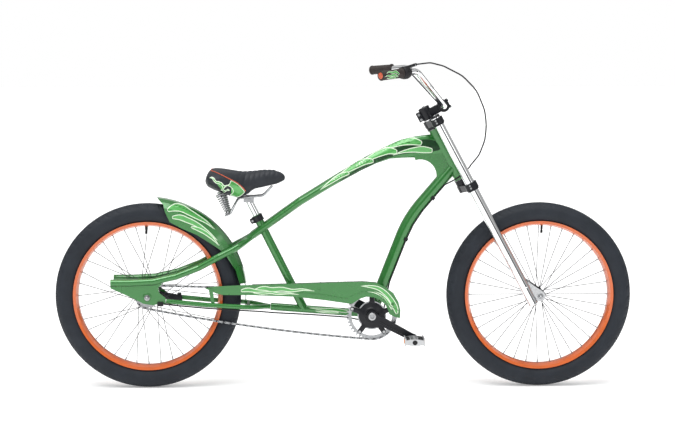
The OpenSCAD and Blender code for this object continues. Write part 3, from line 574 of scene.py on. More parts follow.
class BikeSizes(bpy.types.PropertyGroup):
    tread_depth: bpy.props.FloatProperty(
        name="Tread depth", description="Depth of the grooves in the tyres, in millimetres",
        default=2.2, min=0.5, max=4.0)
    tread_blocks: bpy.props.IntProperty(
        name="Tread waves", description="Number of waves of the tread round a tyre",
        default=26, min=12, max=60)
    plate_thick: bpy.props.FloatProperty(
        name="Link plate", description="Thickness of a chain plate, in millimetres",
        default=1.1, min=0.8, max=1.4)
    stripe: bpy.props.FloatProperty(
        name="Pinstripe width", description="Width of the line round the flames, in millimetres",
        default=2.8, min=0.5, max=4.0)
    piping: bpy.props.FloatProperty(
        name="Piping", description="Radius of the cord sewn round the saddle, in millimetres",
        default=1.8, min=0.8, max=3.0)
    spring_turns: bpy.props.IntProperty(
        name="Spring turns", description="Turns of each spring under the saddle",
        default=8, min=4, max=9)


NODE_FINISHES = {
    "green": [
        "head_tube", "top_tube", "head_web", "down_tube", "seat_tube", "lower_tube",
        "seatstay_right", "seatstay_left", "chainstay_right", "chainstay_left",
        "dropout_right", "dropout_left", "fender_brackets", "rear_fender", "chain_guard",
        "chain_guard_bracket",
    ],
    "black": [
        "headset_cups", "bottom_bracket_shell", "seat_collar", "lower_crown", "upper_crown",
        "stem", "crank_arms", "coaster_arm", "front_hub", "rear_hub",
    ],
    "plastic": ["shift_cable_loop", "shift_cable_frame", "cable_guides", "shifter"],
    "chrome": ["seatpost", "steerer", "fork_legs", "handlebar", "saddle_springs"],
    "alloy": ["fork_ends", "pedal_right", "pedal_left", "crank_spindle"],
    "steel": ["saddle_rails", "chainring", "sprocket", "chain", "rear_axle", "front_axle"],
    "spoke": ["front_spokes", "rear_spokes"],
    "orange": ["front_rim", "rear_rim"],
    "rubber": ["front_tyre", "rear_tyre"],
    "grip": ["grips"],
    "vinyl": ["saddle"],
}


class BIKE_OT_finishes(bpy.types.Operator):
    """Gives every solid of the frame its paint, metal or rubber"""
    bl_idname = "bike.finishes"
    bl_label = "Paint and metal"

    def execute(self, context):
        left = set(NODES)
        for finish, names in NODE_FINISHES.items():
            for name in names:
                mesh = NODES[name].data
                mesh.materials.clear()
                mesh.materials.append(material(finish))
                left.discard(name)
        if left:
            raise RuntimeError("nodes without a finish: " + ", ".join(sorted(left)))
        return {"FINISHED"}


# Studio

FLOOR_Z = -0.764
CAMERA_AT = (0.18714, -6.99251, 0.5368)
CAMERA_YAW = 0.025547
CAMERA_DOWN = 0.096974
FOCAL_PIXELS = 1999.06
PHOTO_WIDTH = 675.0
# Brightness of the air by height and by side, from 0 to 1 across the whole sphere
AIR_UP = (
    (0.0, 0.6), (0.44, 0.5), (0.5, 0.1), (0.57, 0.12), (0.62, 0.85), (0.74, 1.0), (1.0, 0.75),
)
AIR_BESIDE = (
    (0.0, 0.4), (0.18, 0.95), (0.3, 0.95), (0.36, 0.25), (0.42, 0.9), (0.58, 1.0),
    (0.66, 0.2), (0.72, 0.9), (0.84, 1.0), (1.0, 0.35),
)


def soft_light(name, place, target, size, watts, shape_y=None):
    """A large area light that points at a target."""
    lamp = bpy.data.lights.new(name, "AREA")
    lamp.shape = "RECTANGLE"
    lamp.size = size
    lamp.size_y = shape_y or size
    lamp.energy = watts
    obj = bpy.data.objects.new(name, lamp)
    bpy.context.scene.collection.objects.link(obj)
    obj.location = place
    obj.rotation_euler = (Vector(target) - Vector(place)).to_track_quat("-Z", "Y").to_euler()
    return obj


def studio_air(scene):
    """White for the camera, and soft bright and dark bands for what the metal mirrors."""
    world = bpy.data.worlds.new("studio")
    scene.world = world
    world.use_nodes = True
    tree = world.node_tree
    tree.nodes.clear()

    def node(kind, **values):
        made = tree.nodes.new(kind)
        for key, value in values.items():
            setattr(made, key, value)
        return made

    def bands(source, stops):
        shares = node("ShaderNodeMapRange")
        shares.inputs["From Min"].default_value = -1.0
        tree.links.new(source, shares.inputs["Value"])
        made = node("ShaderNodeValToRGB")
        items = made.color_ramp.elements
        while len(items) < len(stops):
            items.new(0.5)
        for item, (place, grey) in zip(items, stops):
            item.position = place
            item.color = (grey, grey, grey, 1.0)
        tree.links.new(shares.outputs["Result"], made.inputs["Fac"])
        return made.outputs["Color"]

    split = node("ShaderNodeSeparateXYZ")
    tree.links.new(node("ShaderNodeTexCoord").outputs["Generated"], split.inputs["Vector"])
    up = bands(split.outputs["Z"], AIR_UP)
    beside = bands(split.outputs["X"], AIR_BESIDE)
    both = node("ShaderNodeMixRGB", blend_type="MULTIPLY")
    both.inputs["Fac"].default_value = 1.0
    tree.links.new(up, both.inputs["Color1"])
    tree.links.new(beside, both.inputs["Color2"])
    mirrored = node("ShaderNodeBackground")
    mirrored.inputs["Strength"].default_value = 0.85
    tree.links.new(both.outputs["Color"], mirrored.inputs["Color"])
    seen = node("ShaderNodeBackground")
    seen.inputs["Color"].default_value = (1.0, 1.0, 1.0, 1.0)
    mix = node("ShaderNodeMixShader")
    tree.links.new(node("ShaderNodeLightPath").outputs["Is Camera Ray"], mix.inputs["Fac"])
    tree.links.new(mirrored.outputs["Background"], mix.inputs[1])
    tree.links.new(seen.outputs["Background"], mix.inputs[2])
    tree.links.new(mix.outputs["Shader"], node("ShaderNodeOutputWorld").inputs["Surface"])


class BIKE_OT_stage(bpy.types.Operator):
    """Makes the floor, the soft light and the camera"""
    bl_idname = "bike.stage"
    bl_label = "Studio"

    def execute(self, context):
        bm = bmesh.new()
        bmesh.ops.create_grid(bm, x_segments=40, y_segments=40, size=30.0)
        bmesh.ops.translate(bm, verts=bm.verts, vec=(0.0, 0.0, FLOOR_Z - 0.0005))
        mesh = bpy.data.meshes.new("floor")
        bm.to_mesh(mesh)
        bm.free()
        mesh.materials.append(material("floor"))
        ground = bpy.data.objects.new("floor", mesh)
        context.scene.collection.objects.link(ground)

        studio_air(context.scene)
        soft_light("key_light", (-1.6, -3.6, 3.4), (0.2, 0.0, -0.2), 2.2, 40.0)
        soft_light("fill_light", (3.4, -3.2, 1.8), (0.3, 0.0, -0.2), 1.6, 15.0)
        sky_lamp = bpy.data.lights.new("overhead", "SUN")
        sky_lamp.energy = 2.3
        sky_lamp.angle = math.radians(50.0)
        overhead = bpy.data.objects.new("overhead", sky_lamp)
        overhead.rotation_euler = (math.radians(14.0), math.radians(-10.0), 0.0)
        context.scene.collection.objects.link(overhead)

        lens = bpy.data.cameras.new("camera")
        lens.sensor_width = 36.0
        lens.lens = 36.0 * FOCAL_PIXELS / PHOTO_WIDTH
        lens.clip_end = 200.0
        eye = bpy.data.objects.new("camera", lens)
        context.scene.collection.objects.link(eye)
        eye.location = CAMERA_AT
        eye.rotation_euler = (math.radians(90.0) - CAMERA_DOWN, 0.0, -CAMERA_YAW)
        context.scene.camera = eye
        return {"FINISHED"}


# Wheels: both turn about axles that run along y, and angles start forward and go up

SPOKES = 36
RIM_INNER = 246.0
WHEELS = (
    ("front", WHEELBASE, 21.0, 34.0, 12.0, 14.0, 87.6),
    ("rear", 0.0, 34.0, 27.0, 55.0, 28.0, 91.5),
)


def wheel_place(x):
    """A wheel's place: its own x forward, its own y up, its own z to the rider's right."""
    return Matrix.Translation((x, 0.0, AXLE_Z)) @ Matrix.Rotation(math.radians(90.0), 4, "X")


def ease(value, low, high):
    """From 0 at low to 1 at high, with soft ends."""
    t = min(1.0, max(0.0, (value - low) / (high - low)))
    return t * t * (3.0 - 2.0 * t)


def tread_cut(turn, lean, waves):
    """How deep the tread is cut at a place: 0 on a block, 1 in a groove."""
    side = 1.0 if lean >= 0 else -1.0
    lean = abs(lean)
    phase = waves * turn + side * 0.8
    middle = 1.0 - ease(abs(lean - 0.09 - 0.05 * math.sin(phase)), 0.018, 0.045)
    sweep = math.sin(phase + 4.2 * lean + 0.8 * math.sin(5.0 * lean))
    arc = (1.0 - ease(abs(sweep), 0.10, 0.26)) * ease(lean, 0.16, 0.2) * (1.0 - ease(lean, 0.98, 1.1))
    branch = math.sin(2.0 * phase - 5.0 * lean)
    short = (1.0 - ease(abs(branch), 0.14, 0.34)) * ease(lean, 0.42, 0.48) * (1.0 - ease(lean, 0.72, 0.8))
    return max(middle, arc, short * 0.8)


def tyre_part(depth, waves):
    """A tyre: its section is spun round, then the tread is cut into its crown."""
    centre = TYRE_R - TYRE_SECTION
    half = math.acos((RIM_SEAT - centre) / TYRE_SECTION)
    count = 58
    line = []
    for i in range(count + 1):
        lean = -half + 2.0 * half * i / count
        line.append((centre + TYRE_SECTION * math.cos(lean), TYRE_SECTION * math.sin(lean)))
    part = spun(line, waves * 22, closed=True)
    for vert in part.verts:
        radius = math.hypot(vert.co.x, vert.co.y)
        if radius < RIM_SEAT + 0.5:
            continue
        turn = math.atan2(vert.co.y, vert.co.x)
        lean = math.atan2(vert.co.z, radius - centre)
        sink = depth * tread_cut(turn, lean, waves)
        for rib, tall in ((1.28, 0.5), (1.42, 0.35), (1.95, 0.6), (2.12, 0.5)):
            if abs(abs(lean) - rib) < 0.04:
                sink += tall
        keep = 1.0 - sink / TYRE_SECTION
        out = Vector((math.cos(turn), math.sin(turn), 0.0))
        middle = out * centre
        vert.co = middle + (vert.co - middle) * keep
    return part


class BIKE_OT_tyres(bpy.types.Operator):
    """Tyres with a swept tread and ribbed sides"""
    bl_idname = "bike.tyres"
    bl_label = "Tyres"

    def execute(self, context):
        sizes = context.scene.bike_sizes
        part = tyre_part(sizes.tread_depth, sizes.tread_blocks)
        mesh = bpy.data.meshes.new("tyre")
        for face in part.faces:
            face.smooth = True
        part.to_mesh(mesh)
        part.free()
        for name, x, *_ in WHEELS:
            bm = bmesh.new()
            bm.from_mesh(mesh)
            bm.transform(wheel_place(x))
            piece(name + "_tread_tyre", bm, ["rubber"], name + "_wheel", 50.0,
                  (name + "_tyre",))
        bpy.data.meshes.remove(mesh)
        return {"FINISHED"}


def spoke_ends(k, flange, half, lean):
    """Both ends of a spoke in its wheel's own frame."""
    side = 1 if k % 2 == 0 else -1
    way = 1 if (k // 2) % 2 == 0 else -1
    a = math.tau * k / SPOKES
    b = a + way * math.radians(lean)
    hub = Vector(((flange + 1.2) * math.cos(b), (flange + 1.2) * math.sin(b), side * half + way * 2.1))
    rim = Vector((RIM_INNER * math.cos(a), RIM_INNER * math.sin(a), side * 5.0))
    return hub, rim, side, way


class BIKE_OT_wheel_fittings(bpy.types.Operator):
    """Spoke nipples and heads, valves, rim ribs and hub caps"""
    bl_idname = "bike.wheel_fittings"
    bl_label = "Wheel fittings"

    def execute(self, context):
        for name, x, flange, half, lean, barrel, valve in WHEELS:
            place = wheel_place(x)
            bm = bmesh.new()
            for k in range(SPOKES):
                hub, rim, side, way = spoke_ends(k, flange, half, lean)
                inward = (hub - rim).normalized()
                nipple = spun([(0, -0.5), (3.4, -0.5), (3.4, 1.0), (2.1, 1.8), (2.1, 10.5), (1.5, 12.0), (0, 12.0)], 10)
                add(bm, nipple, place @ span(rim, rim + inward), 0)
                head = spun([(0, -1.2), (1.9, -0.9), (2.2, 0.0), (1.9, 0.9), (0, 1.2)], 8)
                add(bm, head, place @ Matrix.Translation(hub), 1)
            for side in (-1, 1):
                ring = [(RIM_INNER - 0.4, side * 4.0 - 1.0), (RIM_INNER - 1.0, side * 4.0),
                        (RIM_INNER - 0.4, side * 4.0 + 1.0)]
                add(bm, spun([(r + 0.0, h * 2.0) for r, h in ring], 96), place, 2)
            piece(name + "_nipples", bm, ["steel", "spoke", "orange"], name + "_wheel")

            bm = bmesh.new()
            turn = math.radians(valve)
            out = Vector((math.cos(turn), math.sin(turn), 0.0))
            stem = spun([(0, 0), (5.4, 0), (5.4, 1.6), (4.0, 2.6), (3.9, 15.0), (3.2, 16.0), (3.2, 19.0), (4.4, 19.4),
                         (4.4, 27.0), (3.6, 28.6), (0, 29.0)], 20)
            add(bm, stem, place @ span(out * (RIM_INNER - 0.3), out * (RIM_INNER - 30.0)), 0)
            piece(name + "_valve", bm, ["plastic"], name + "_wheel")

            bm = bmesh.new()
            reach = 47.0 if name == "front" else 38.0
            for side in (-1, 1):
                cap = spun([(5.4, reach + 0.1), (barrel * 0.7, reach + 0.1), (barrel * 0.7, reach + 1.4),
                            (barrel * 0.55, reach + 2.4), (5.4, reach + 2.4)], 40, closed=True)
                add(bm, cap, place @ Matrix.Rotation(0.0 if side > 0 else math.pi, 4, "X"), 1)
                for radius in (flange - 1.0,):
                    rim_ring = tube([(radius * math.cos(t), radius * math.sin(t), side * (half + 2.0))
                                     for t in [math.tau * i / 64 for i in range(64)]], 0.9, 8, closed=True)
                    add(bm, rim_ring, place, 0)
            piece(name + "_hub_trim", bm, ["steel", "alloy"], name + "_wheel")
        return {"FINISHED"}


# Drive


def toothed_radius(teeth):
    return PITCH / (2.0 * math.sin(math.pi / teeth))


RING_R = toothed_radius(RING_TEETH)
COG_R = toothed_radius(COG_TEETH)
CHAIN_RUN = math.hypot(CRANK[0], CRANK[1] - AXLE_Z)
CHAIN_SLOPE = math.atan2(CRANK[1] - AXLE_Z, CRANK[0])
TANGENT = math.asin((RING_R - COG_R) / CHAIN_RUN)
RUN_LEN = CHAIN_RUN * math.cos(TANGENT)
FRONT_WRAP = RING_R * (math.pi + 2.0 * TANGENT)
REAR_WRAP = COG_R * (math.pi - 2.0 * TANGENT)
CHAIN_LEN = 2.0 * RUN_LEN + FRONT_WRAP + REAR_WRAP
LINKS = 2 * round(CHAIN_LEN / PITCH / 2.0)


def chain_point(s):
    """Where the chain's middle is at distance s along it, and whether it is on a wheel."""
    s %= CHAIN_LEN
    lean = math.pi / 2 + TANGENT
    if s < RUN_LEN:
        u = COG_R * math.cos(lean) + s * math.sin(lean)
        v = COG_R * math.sin(lean) - s * math.cos(lean)
        wrapped = False
    elif s < RUN_LEN + FRONT_WRAP:
        turn = lean - (s - RUN_LEN) / RING_R
        u, v, wrapped = CHAIN_RUN + RING_R * math.cos(turn), RING_R * math.sin(turn), True
    elif s < 2.0 * RUN_LEN + FRONT_WRAP:
        back = s - RUN_LEN - FRONT_WRAP
        u = CHAIN_RUN + RING_R * math.cos(lean) - back * math.sin(lean)
        v = -RING_R * math.sin(lean) - back * math.cos(lean)
        v -= 4.0 * CHAIN_SAG * back * (RUN_LEN - back) / RUN_LEN ** 2
        wrapped = False
    else:
        turn = -lean - (s - 2.0 * RUN_LEN - FRONT_WRAP) / COG_R
        u, v, wrapped = COG_R * math.cos(turn), COG_R * math.sin(turn), True
    x = u * math.cos(CHAIN_SLOPE) - v * math.sin(CHAIN_SLOPE)
    z = AXLE_Z + u * math.sin(CHAIN_SLOPE) + v * math.cos(CHAIN_SLOPE)
    return Vector((x, -CHAIN_Y, z)), wrapped


def link_outline(length, end, waist):
    """A chain plate seen from the side: two round ends and a waist."""
    points = []
    for k in range(6):
        turn = math.radians(-125.0 + 50.0 * k)
        points.append((length + end * math.cos(turn), end * math.sin(turn)))
    points.append((length / 2, waist))
    for k in range(6):
        turn = math.radians(55.0 + 50.0 * k)
        points.append((end * math.cos(turn), end * math.sin(turn)))
    points.append((length / 2, -waist))
    return points


class BIKE_OT_chain(bpy.types.Operator):
    """Chain of inner and outer plates, rollers and riveted pins"""
    bl_idname = "bike.chain"
    bl_label = "Chain"

    def execute(self, context):
        thick = context.scene.bike_sizes.plate_thick
        step = CHAIN_LEN / LINKS
        pins = [chain_point(k * step) for k in range(LINKS)]
        inner, outer, rollers, heads = [], [], [], []
        for k in range(LINKS):
            here, wrapped = pins[k]
            there, wrapped_next = pins[(k + 1) % LINKS]
            way = there - here
            turn = Matrix.Rotation(-math.atan2(way.z, way.x), 4, "Y")
            gap = 2.45 if k % 2 == 0 else 3.7
            for side in (-1, 1):
                place = Matrix.Translation(here + Vector((0, side * gap, 0))) @ turn
                (inner if k % 2 == 0 else outer).append(place)
                heads.append(
                    Matrix.Translation(here + Vector((0, side * 4.15, 0)))
                    @ Matrix.Rotation(math.radians(-90.0 * side), 4, "X")
                )
            if not wrapped:
                rollers.append(Matrix.Translation(here))
        bm = bmesh.new()
        outline = link_outline(step, 4.0, 2.7)
        add_all(bm, plate(outline, thick, 0.0), inner, 0)
        add_all(bm, plate(outline, thick, 0.0), outer, 1)
        roller = spun([(0, -1.7), (3.6, -1.7), (3.9, -1.3), (3.9, 1.3), (3.6, 1.7), (0, 1.7)], 12)
        roller.transform(Matrix.Rotation(math.radians(90.0), 4, "X"))
        add_all(bm, roller, rollers, 0)
        add_all(bm, spun([(2.1, -0.1), (2.0, 0.1), (1.4, 0.35), (0, 0.4)], 8), heads, 0)
        piece("link_chain", bm, ["spoke", "steel"], "frame", 30.0, ("chain",))
        return {"FINISHED"}


class BIKE_OT_crankset(bpy.types.Operator):
    """Black spider over the chainring, ring bolts, crank caps and pedal blocks"""
    bl_idname = "bike.crankset"
    bl_label = "Crankset trim"

    def execute(self, context):
        face_y = -CHAIN_Y - 1.3
        bm = bmesh.new()
        dish = spun([(21.4, 0.0), (46.0, 0.0), (46.0, 2.6), (43.0, 4.2), (30.0, 5.6), (26.0, 9.0), (21.4, 9.0)],
                    72, closed=True)
        out = Matrix.Translation((CRANK[0], face_y, CRANK[1])) @ Matrix.Rotation(math.radians(90.0), 4, "X")
        add(bm, dish, out, 0)
        for k in range(5):
            turn = Matrix.Rotation(math.radians(90.0 + 72.0 * k), 4, "Z")
            arm = plate([(38, -13), (52, -8.5), (68, -8), (77, -6.5), (79, 0), (77, 6.5), (68, 8), (52, 8.5), (38, 13)],
                        3.6, 1.0)
            arm.transform(Matrix.Translation((0, 0, 1.9)) @ Matrix.Rotation(math.radians(-90.0), 4, "X"))
            add(bm, arm, out @ turn, 0)
        piece("chainring_spider", bm, ["black"], "crankset")

        bm = bmesh.new()
        for k in range(5):
            turn = Matrix.Rotation(math.radians(90.0 + 72.0 * k), 4, "Z")
            bolt = spun([(0, 0.8), (2.4, 0.8), (2.6, 1.6), (4.6, 1.9), (5.0, 1.2), (5.0, 0.0), (0, 0.0)], 24)
            add(bm, bolt, out @ turn @ Matrix.Translation((72.5, 0, 3.75)), 0)
        for side in (-1, 1):
            cap_place = (
                Matrix.Translation((CRANK[0], side * 84.1, CRANK[1]))
                @ Matrix.Rotation(math.radians(-90.0 * side), 4, "X")
            )
            cap = spun([(8.7, 0.0), (13.2, 0.0), (13.2, 1.0), (12.2, 2.2), (8.7, 2.6)], 40, closed=True)
            add(bm, cap, cap_place, 0)
            add(bm, spun([(0, 2.1), (3.2, 2.1), (3.8, 3.4), (7.6, 3.9), (8.4, 3.2), (8.4, 2.1)], 32), cap_place, 1)
        piece("crank_bolts", bm, ["alloy", "steel"], "crankset")

        down = math.radians(28.0)
        for side, name, body in ((-1, "right", "right_pedal"), (1, "left", "left_pedal")):
            way = 1.0 if side < 0 else -1.0
            centre = Vector((
                CRANK[0] + way * 163.0 * math.cos(down), side * 138.0,
                CRANK[1] - way * 163.0 * math.sin(down),
            ))
            bm = bmesh.new()
            for edge in (-1, 1):
                rail = block((11.0, 78.0, 15.0), 2.4, 3)
                add(bm, rail, Matrix.Translation(centre + Vector((edge * 22.0, 0, 0))), 0)
                for k in range(5):
                    rib = block((12.4, 4.5, 17.0), 1.2, 2)
                    add(bm, rib, Matrix.Translation(centre + Vector((edge * 22.0, (k - 2) * 15.0, 0))), 0)
                lens = block((2.2, 44.0, 13.0), 0.9, 2)
                add(bm, lens, Matrix.Translation(centre + Vector((edge * 35.2, 0, 0))), 1)
            cap = spun([(0, 0), (8.6, 0), (8.6, 1.6), (7.0, 3.0), (0, 3.4)], 28)
            cap_place = (
                Matrix.Translation(centre + Vector((0, side * 45.2, 0)))
                @ Matrix.Rotation(math.radians(-90.0 * side), 4, "X")
            )
            add(bm, cap, cap_place, 0)
            piece(name + "_pedal_blocks", bm, ["plastic", "reflector"], body)
        return {"FINISHED"}


GUARD_CREASE = (
    (533, 342), (620, 333), (690, 321), (717, 330), (743, 343), (771, 345), (795, 343), (815, 331),
    (835, 309), (847, 295), (872, 281), (882, 274),
)


class BIKE_OT_guard_trim(bpy.types.Operator):
    """Pressed ridge, bolts and hub-side fasteners of the chain guard and the dropouts"""
    bl_idname = "bike.guard_trim"
    bl_label = "Guard trim"

    def execute(self, context):
        bm = bmesh.new()
        line = smooth_line([(x, -60.0, z) for x, z in GUARD_CREASE], 4)
        add(bm, tube(line, 1.3, 8), None, 0)
        piece("guard_ridge", bm, ["green"], "frame")

        bm = bmesh.new()
        out = Matrix.Rotation(math.radians(90.0), 4, "X")
        for x, z in ((224.0, 351.0), (858.0, 300.0), (600.0, 352.0)):
            place = Matrix.Translation((x, -60.0, z)) @ out
            add(bm, rounded_disc(6.0, 1.0, 0.3, 28), place, 0)
            add(bm, spun([(3.6, 1.0), (3.4, 2.6), (2.0, 3.4), (0, 3.6)], 20), place, 0)
        for side in (-1, 1):
            face = Matrix.Translation((0.0, side * 72.2, AXLE_Z)) @ Matrix.Rotation(
                math.radians(-90.0 * side), 4, "X")
            add(bm, spun([(12.5, 0.0), (17.0, 0.0), (17.0, 0.9), (16.0, 1.4), (12.5, 1.4)], 40, closed=True), face, 0)
        piece("guard_bolts", bm, ["green"], "frame")
        return {"FINISHED"}


# Flames: thin films laid on a surface, cut from flat outlines seen from the side


def inset_line(line, depth):
    """A closed outline moved inwards by the depth, or by less where the shape is narrow."""
    ahead = line[1:] + line[:1]
    area = sum(a.x * b.z - b.x * a.z for a, b in zip(line, ahead))
    turn = 1.0 if area > 0 else -1.0
    inner = []
    for k, point in enumerate(line):
        way = ahead[k] - line[k - 1]
        inward = Vector((-way.z, 0.0, way.x)).normalized() * turn
        reach = depth
        for a, b in zip(line, ahead):
            edge = b - a
            gap = a - point
            cross = inward.x * edge.z - inward.z * edge.x
            if abs(cross) < 1e-9:
                continue
            far = (gap.x * edge.z - gap.z * edge.x) / cross
            along = (gap.x * inward.z - gap.z * inward.x) / cross
            if far > 1e-4 and 0.0 <= along <= 1.0:
                reach = min(reach, 0.4 * far)
        inner.append(point + inward * reach)
    return inner


def decal(bm, tree, outline, side, lift, stripe, fill, edge, cell=5.0):
    """Lays an outline of (x, z) points on the surface, with a line of another finish round it."""
    film = bmesh.new()
    line = smooth_line([(x, 0.0, z) for x, z in outline], 5, closed=True)
    outer = [film.verts.new(p) for p in line]
    inner = [film.verts.new(p) for p in inset_line(line, stripe)]
    film.faces.new(inner).material_index = fill
    for k in range(len(line)):
        ring = film.faces.new((outer[k - 1], outer[k], inner[k], inner[k - 1]))
        ring.material_index = edge
    bmesh.ops.triangulate(film, faces=film.faces)
    for face in film.faces:
        face.normal_update()
        if face.normal.y * side < 0:
            face.normal_flip()
    xs = [p.x for p in line]
    zs = [p.z for p in line]
    for low, high, axis in ((min(xs), max(xs), 0), (min(zs), max(zs), 2)):
        count = int((high - low) / cell)
        for k in range(1, count + 1):
            place = Vector((0.0, 0.0, 0.0))
            place[axis] = low + (high - low) * k / (count + 1)
            way = Vector((0.0, 0.0, 0.0))
            way[axis] = 1.0
            bmesh.ops.bisect_plane(
                film, geom=film.verts[:] + film.edges[:] + film.faces[:], plane_co=place, plane_no=way)
    lost = []
    for vert in film.verts:
        hit, normal = side_hit(tree, vert.co.x, vert.co.z, side)
        if hit is None:
            lost.append(vert)
        else:
            vert.co = hit + normal * lift
    bmesh.ops.delete(film, geom=lost, context="VERTS")
    for face in film.faces:
        face.smooth = True
    mesh = bpy.data.meshes.new("film")
    film.to_mesh(mesh)
    film.free()
    bm.from_mesh(mesh)
    bpy.data.meshes.remove(mesh)


def lick(spine, widths):
    """A flame's outline round a spine of (x, z) points, with its half width at each."""
    head = Vector(spine[0]) + (Vector(spine[0]) - Vector(spine[1])).normalized() * widths[0] * 0.7
    rows = [(head.x, widths[0] * 0.4, head.y)]
    rows += [(x, w, z) for (x, z), w in zip(spine, widths)]
    line = smooth_line(rows, 4)
    left, right = [], []
    for i, point in enumerate(line):
        ahead = line[min(i + 1, len(line) - 1)]
        behind = line[max(i - 1, 0)]
        way = Vector((ahead.x - behind.x, ahead.z - behind.z))
        way.normalize()
        left.append((point.x - way.y * point.y, point.z + way.x * point.y))
        right.append((point.x + way.y * point.y, point.z - way.x * point.y))
    return left + right[-2:0:-1]


TUBE_LICKS = (
    ([(955, 862), (928, 868), (892, 864), (850, 850), (800, 828)], [9, 13, 11, 7, 0.8]),
    ([(992, 836), (964, 839), (932, 838), (896, 832), (858, 820)], [9, 12, 9, 5, 0.8]),
    ([(868, 832), (842, 835), (808, 824), (770, 805), (726, 780)], [9, 12, 11, 7, 0.8]),
    ([(786, 800), (760, 797), (724, 780), (686, 757), (644, 728)], [8, 11, 10, 6, 0.8]),
    ([(702, 757), (676, 748), (642, 726), (604, 699)], [6, 8, 6, 0.8]),
)
TUBE_SHADOW = (
    [(1018, 850), (985, 852), (945, 850), (905, 844), (862, 832), (815, 812), (768, 786), (720, 757),
     (672, 728)],
    [14, 22, 22, 19, 15, 12, 9, 5, 0.8],
)
LOWER_LICKS = (
    ([(700, 267), (680, 270), (655, 274), (625, 274), (595, 277), (565, 281)], [4, 6, 6, 4.5, 3, 0.5]),
    ([(668, 264), (645, 265), (615, 266), (585, 270)], [2.5, 4, 3, 0.5]),
)
GUARD_LICKS = (
    ([(380, 351), (405, 355), (435, 352), (470, 354), (505, 349), (545, 352), (585, 346)],
     [6, 10, 9, 8, 6, 4, 0.6]),
    ([(372, 344), (400, 341), (430, 342), (460, 338), (495, 339), (530, 334)], [4, 6, 5, 4.5, 3, 0.5]),
    ([(330, 349), (352, 352), (380, 348), (410, 347), (440, 344)], [5, 8, 6, 4, 0.5]),
    ([(872, 268), (868, 285), (858, 306), (845, 325), (828, 342), (806, 356), (778, 362), (745, 364)],
     [5, 9, 9, 8, 8, 7, 5, 0.6]),
    ([(855, 282), (846, 300), (833, 318), (815, 333), (792, 342), (765, 345)], [3, 5, 5, 4.5, 3, 0.5]),
)
FENDER_LICKS = (
    ([(76, 632), (98, 640), (122, 636), (148, 622), (176, 606), (206, 588), (236, 562)],
     [7, 13, 12, 10, 8, 5, 0.6]),
    ([(92, 606), (116, 606), (142, 596), (168, 584), (196, 566), (222, 546), (246, 524)],
     [6, 10, 10, 9, 7, 4, 0.6]),
    ([(156, 572), (180, 564), (206, 550), (230, 530), (252, 506)], [4, 7, 7, 5, 0.5]),
)


class BIKE_OT_flames(bpy.types.Operator):
    """Traditional flame licks in pale green with white lines on the frame and the guards"""
    bl_idname = "bike.flames"
    bl_label = "Flames"

    def execute(self, context):
        stripe = context.scene.bike_sizes.stripe
        tube_side = surface("top_tube")
        low_side = surface("lower_tube")
        guard_side = surface("chain_guard")
        fender_side = surface("rear_fender")
        for side, name in ((-1, "right"), (1, "left")):
            bm = bmesh.new()
            decal(bm, tube_side, lick(*TUBE_SHADOW), side, 0.25, 0.8, 2, 2)
            for k, (spine, widths) in enumerate(TUBE_LICKS):
                decal(bm, tube_side, lick(spine, widths), side, 0.4 + 0.12 * k, stripe, 0, 1)
            for k, (spine, widths) in enumerate(LOWER_LICKS):
                decal(bm, low_side, lick(spine, widths), side, 0.3 + 0.12 * k, stripe * 0.8, 0, 1)
            for k, (spine, widths) in enumerate(FENDER_LICKS):
                decal(bm, fender_side, lick(spine, widths), side, 0.3 + 0.12 * k, stripe, 0, 1)
            piece("flames_" + name, bm, ["pale", "line", "shadow"], "frame", 60.0)
        bm = bmesh.new()
        for k, (spine, widths) in enumerate(GUARD_LICKS):
            decal(bm, guard_side, lick(spine, widths), -1, 0.25 + 0.1 * k, stripe, 0, 1)
        piece("flames_guard", bm, ["pale", "line", "shadow"], "frame", 60.0)
        return {"FINISHED"}


# Saddle and springs

SADDLE_PIPING = (
    (214, 769), (226, 768), (240, 765), (258, 758), (276, 749), (296, 739), (314, 728), (330, 714),
    (344, 698),
)
SADDLE_PANEL = (
    (296, 738), (314, 727), (329, 713), (341, 696), (334, 685), (322, 677), (306, 675), (296, 678),
    (290, 684), (299, 694), (300, 704), (293, 714), (283, 719), (276, 716), (282, 722), (290, 728),
)
SADDLE_LICKS = (
    ((283, 723), (274, 714), (266, 704), (259, 703), (264, 712), (262, 721), (252, 727), (244, 728),
     (236, 735), (229, 745), (221, 747), (229, 751), (238, 746), (244, 738), (254, 736), (264, 731),
     (272, 722)),
    ((290, 702), (279, 700), (270, 692), (262, 690), (267, 697), (260, 706), (266, 708), (275, 704),
     (284, 709)),
)


def simulated(obj, steps, pressure, pinned, cap):
    """The mesh after the cover is blown up against its seams, no point moving past the cap."""
    start = [vert.co.copy() for vert in obj.data.vertices]
    group = obj.vertex_groups.new(name="held")
    group.add(pinned, 1.0, "REPLACE")
    cloth = obj.modifiers.new("cover", "CLOTH")
    cloth.settings.vertex_group_mass = "held"
    cloth.settings.use_pressure = True
    cloth.settings.uniform_pressure_force = pressure
    cloth.settings.effector_weights.gravity = 0.0
    cloth.settings.tension_stiffness = 25.0
    cloth.settings.compression_stiffness = 25.0
    cloth.point_cache.frame_start = 1
    cloth.point_cache.frame_end = steps
    scene = bpy.context.scene
    for frame_number in range(1, steps + 1):
        scene.frame_set(frame_number)
    settled = bpy.data.meshes.new_from_object(
        obj.evaluated_get(bpy.context.evaluated_depsgraph_get()))
    scene.frame_set(1)
    for vert, before in zip(settled.vertices, start):
        move = vert.co - before
        if move.length > cap:
            vert.co = before + move.normalized() * cap
    obj.modifiers.clear()
    obj.vertex_groups.clear()
    return settled


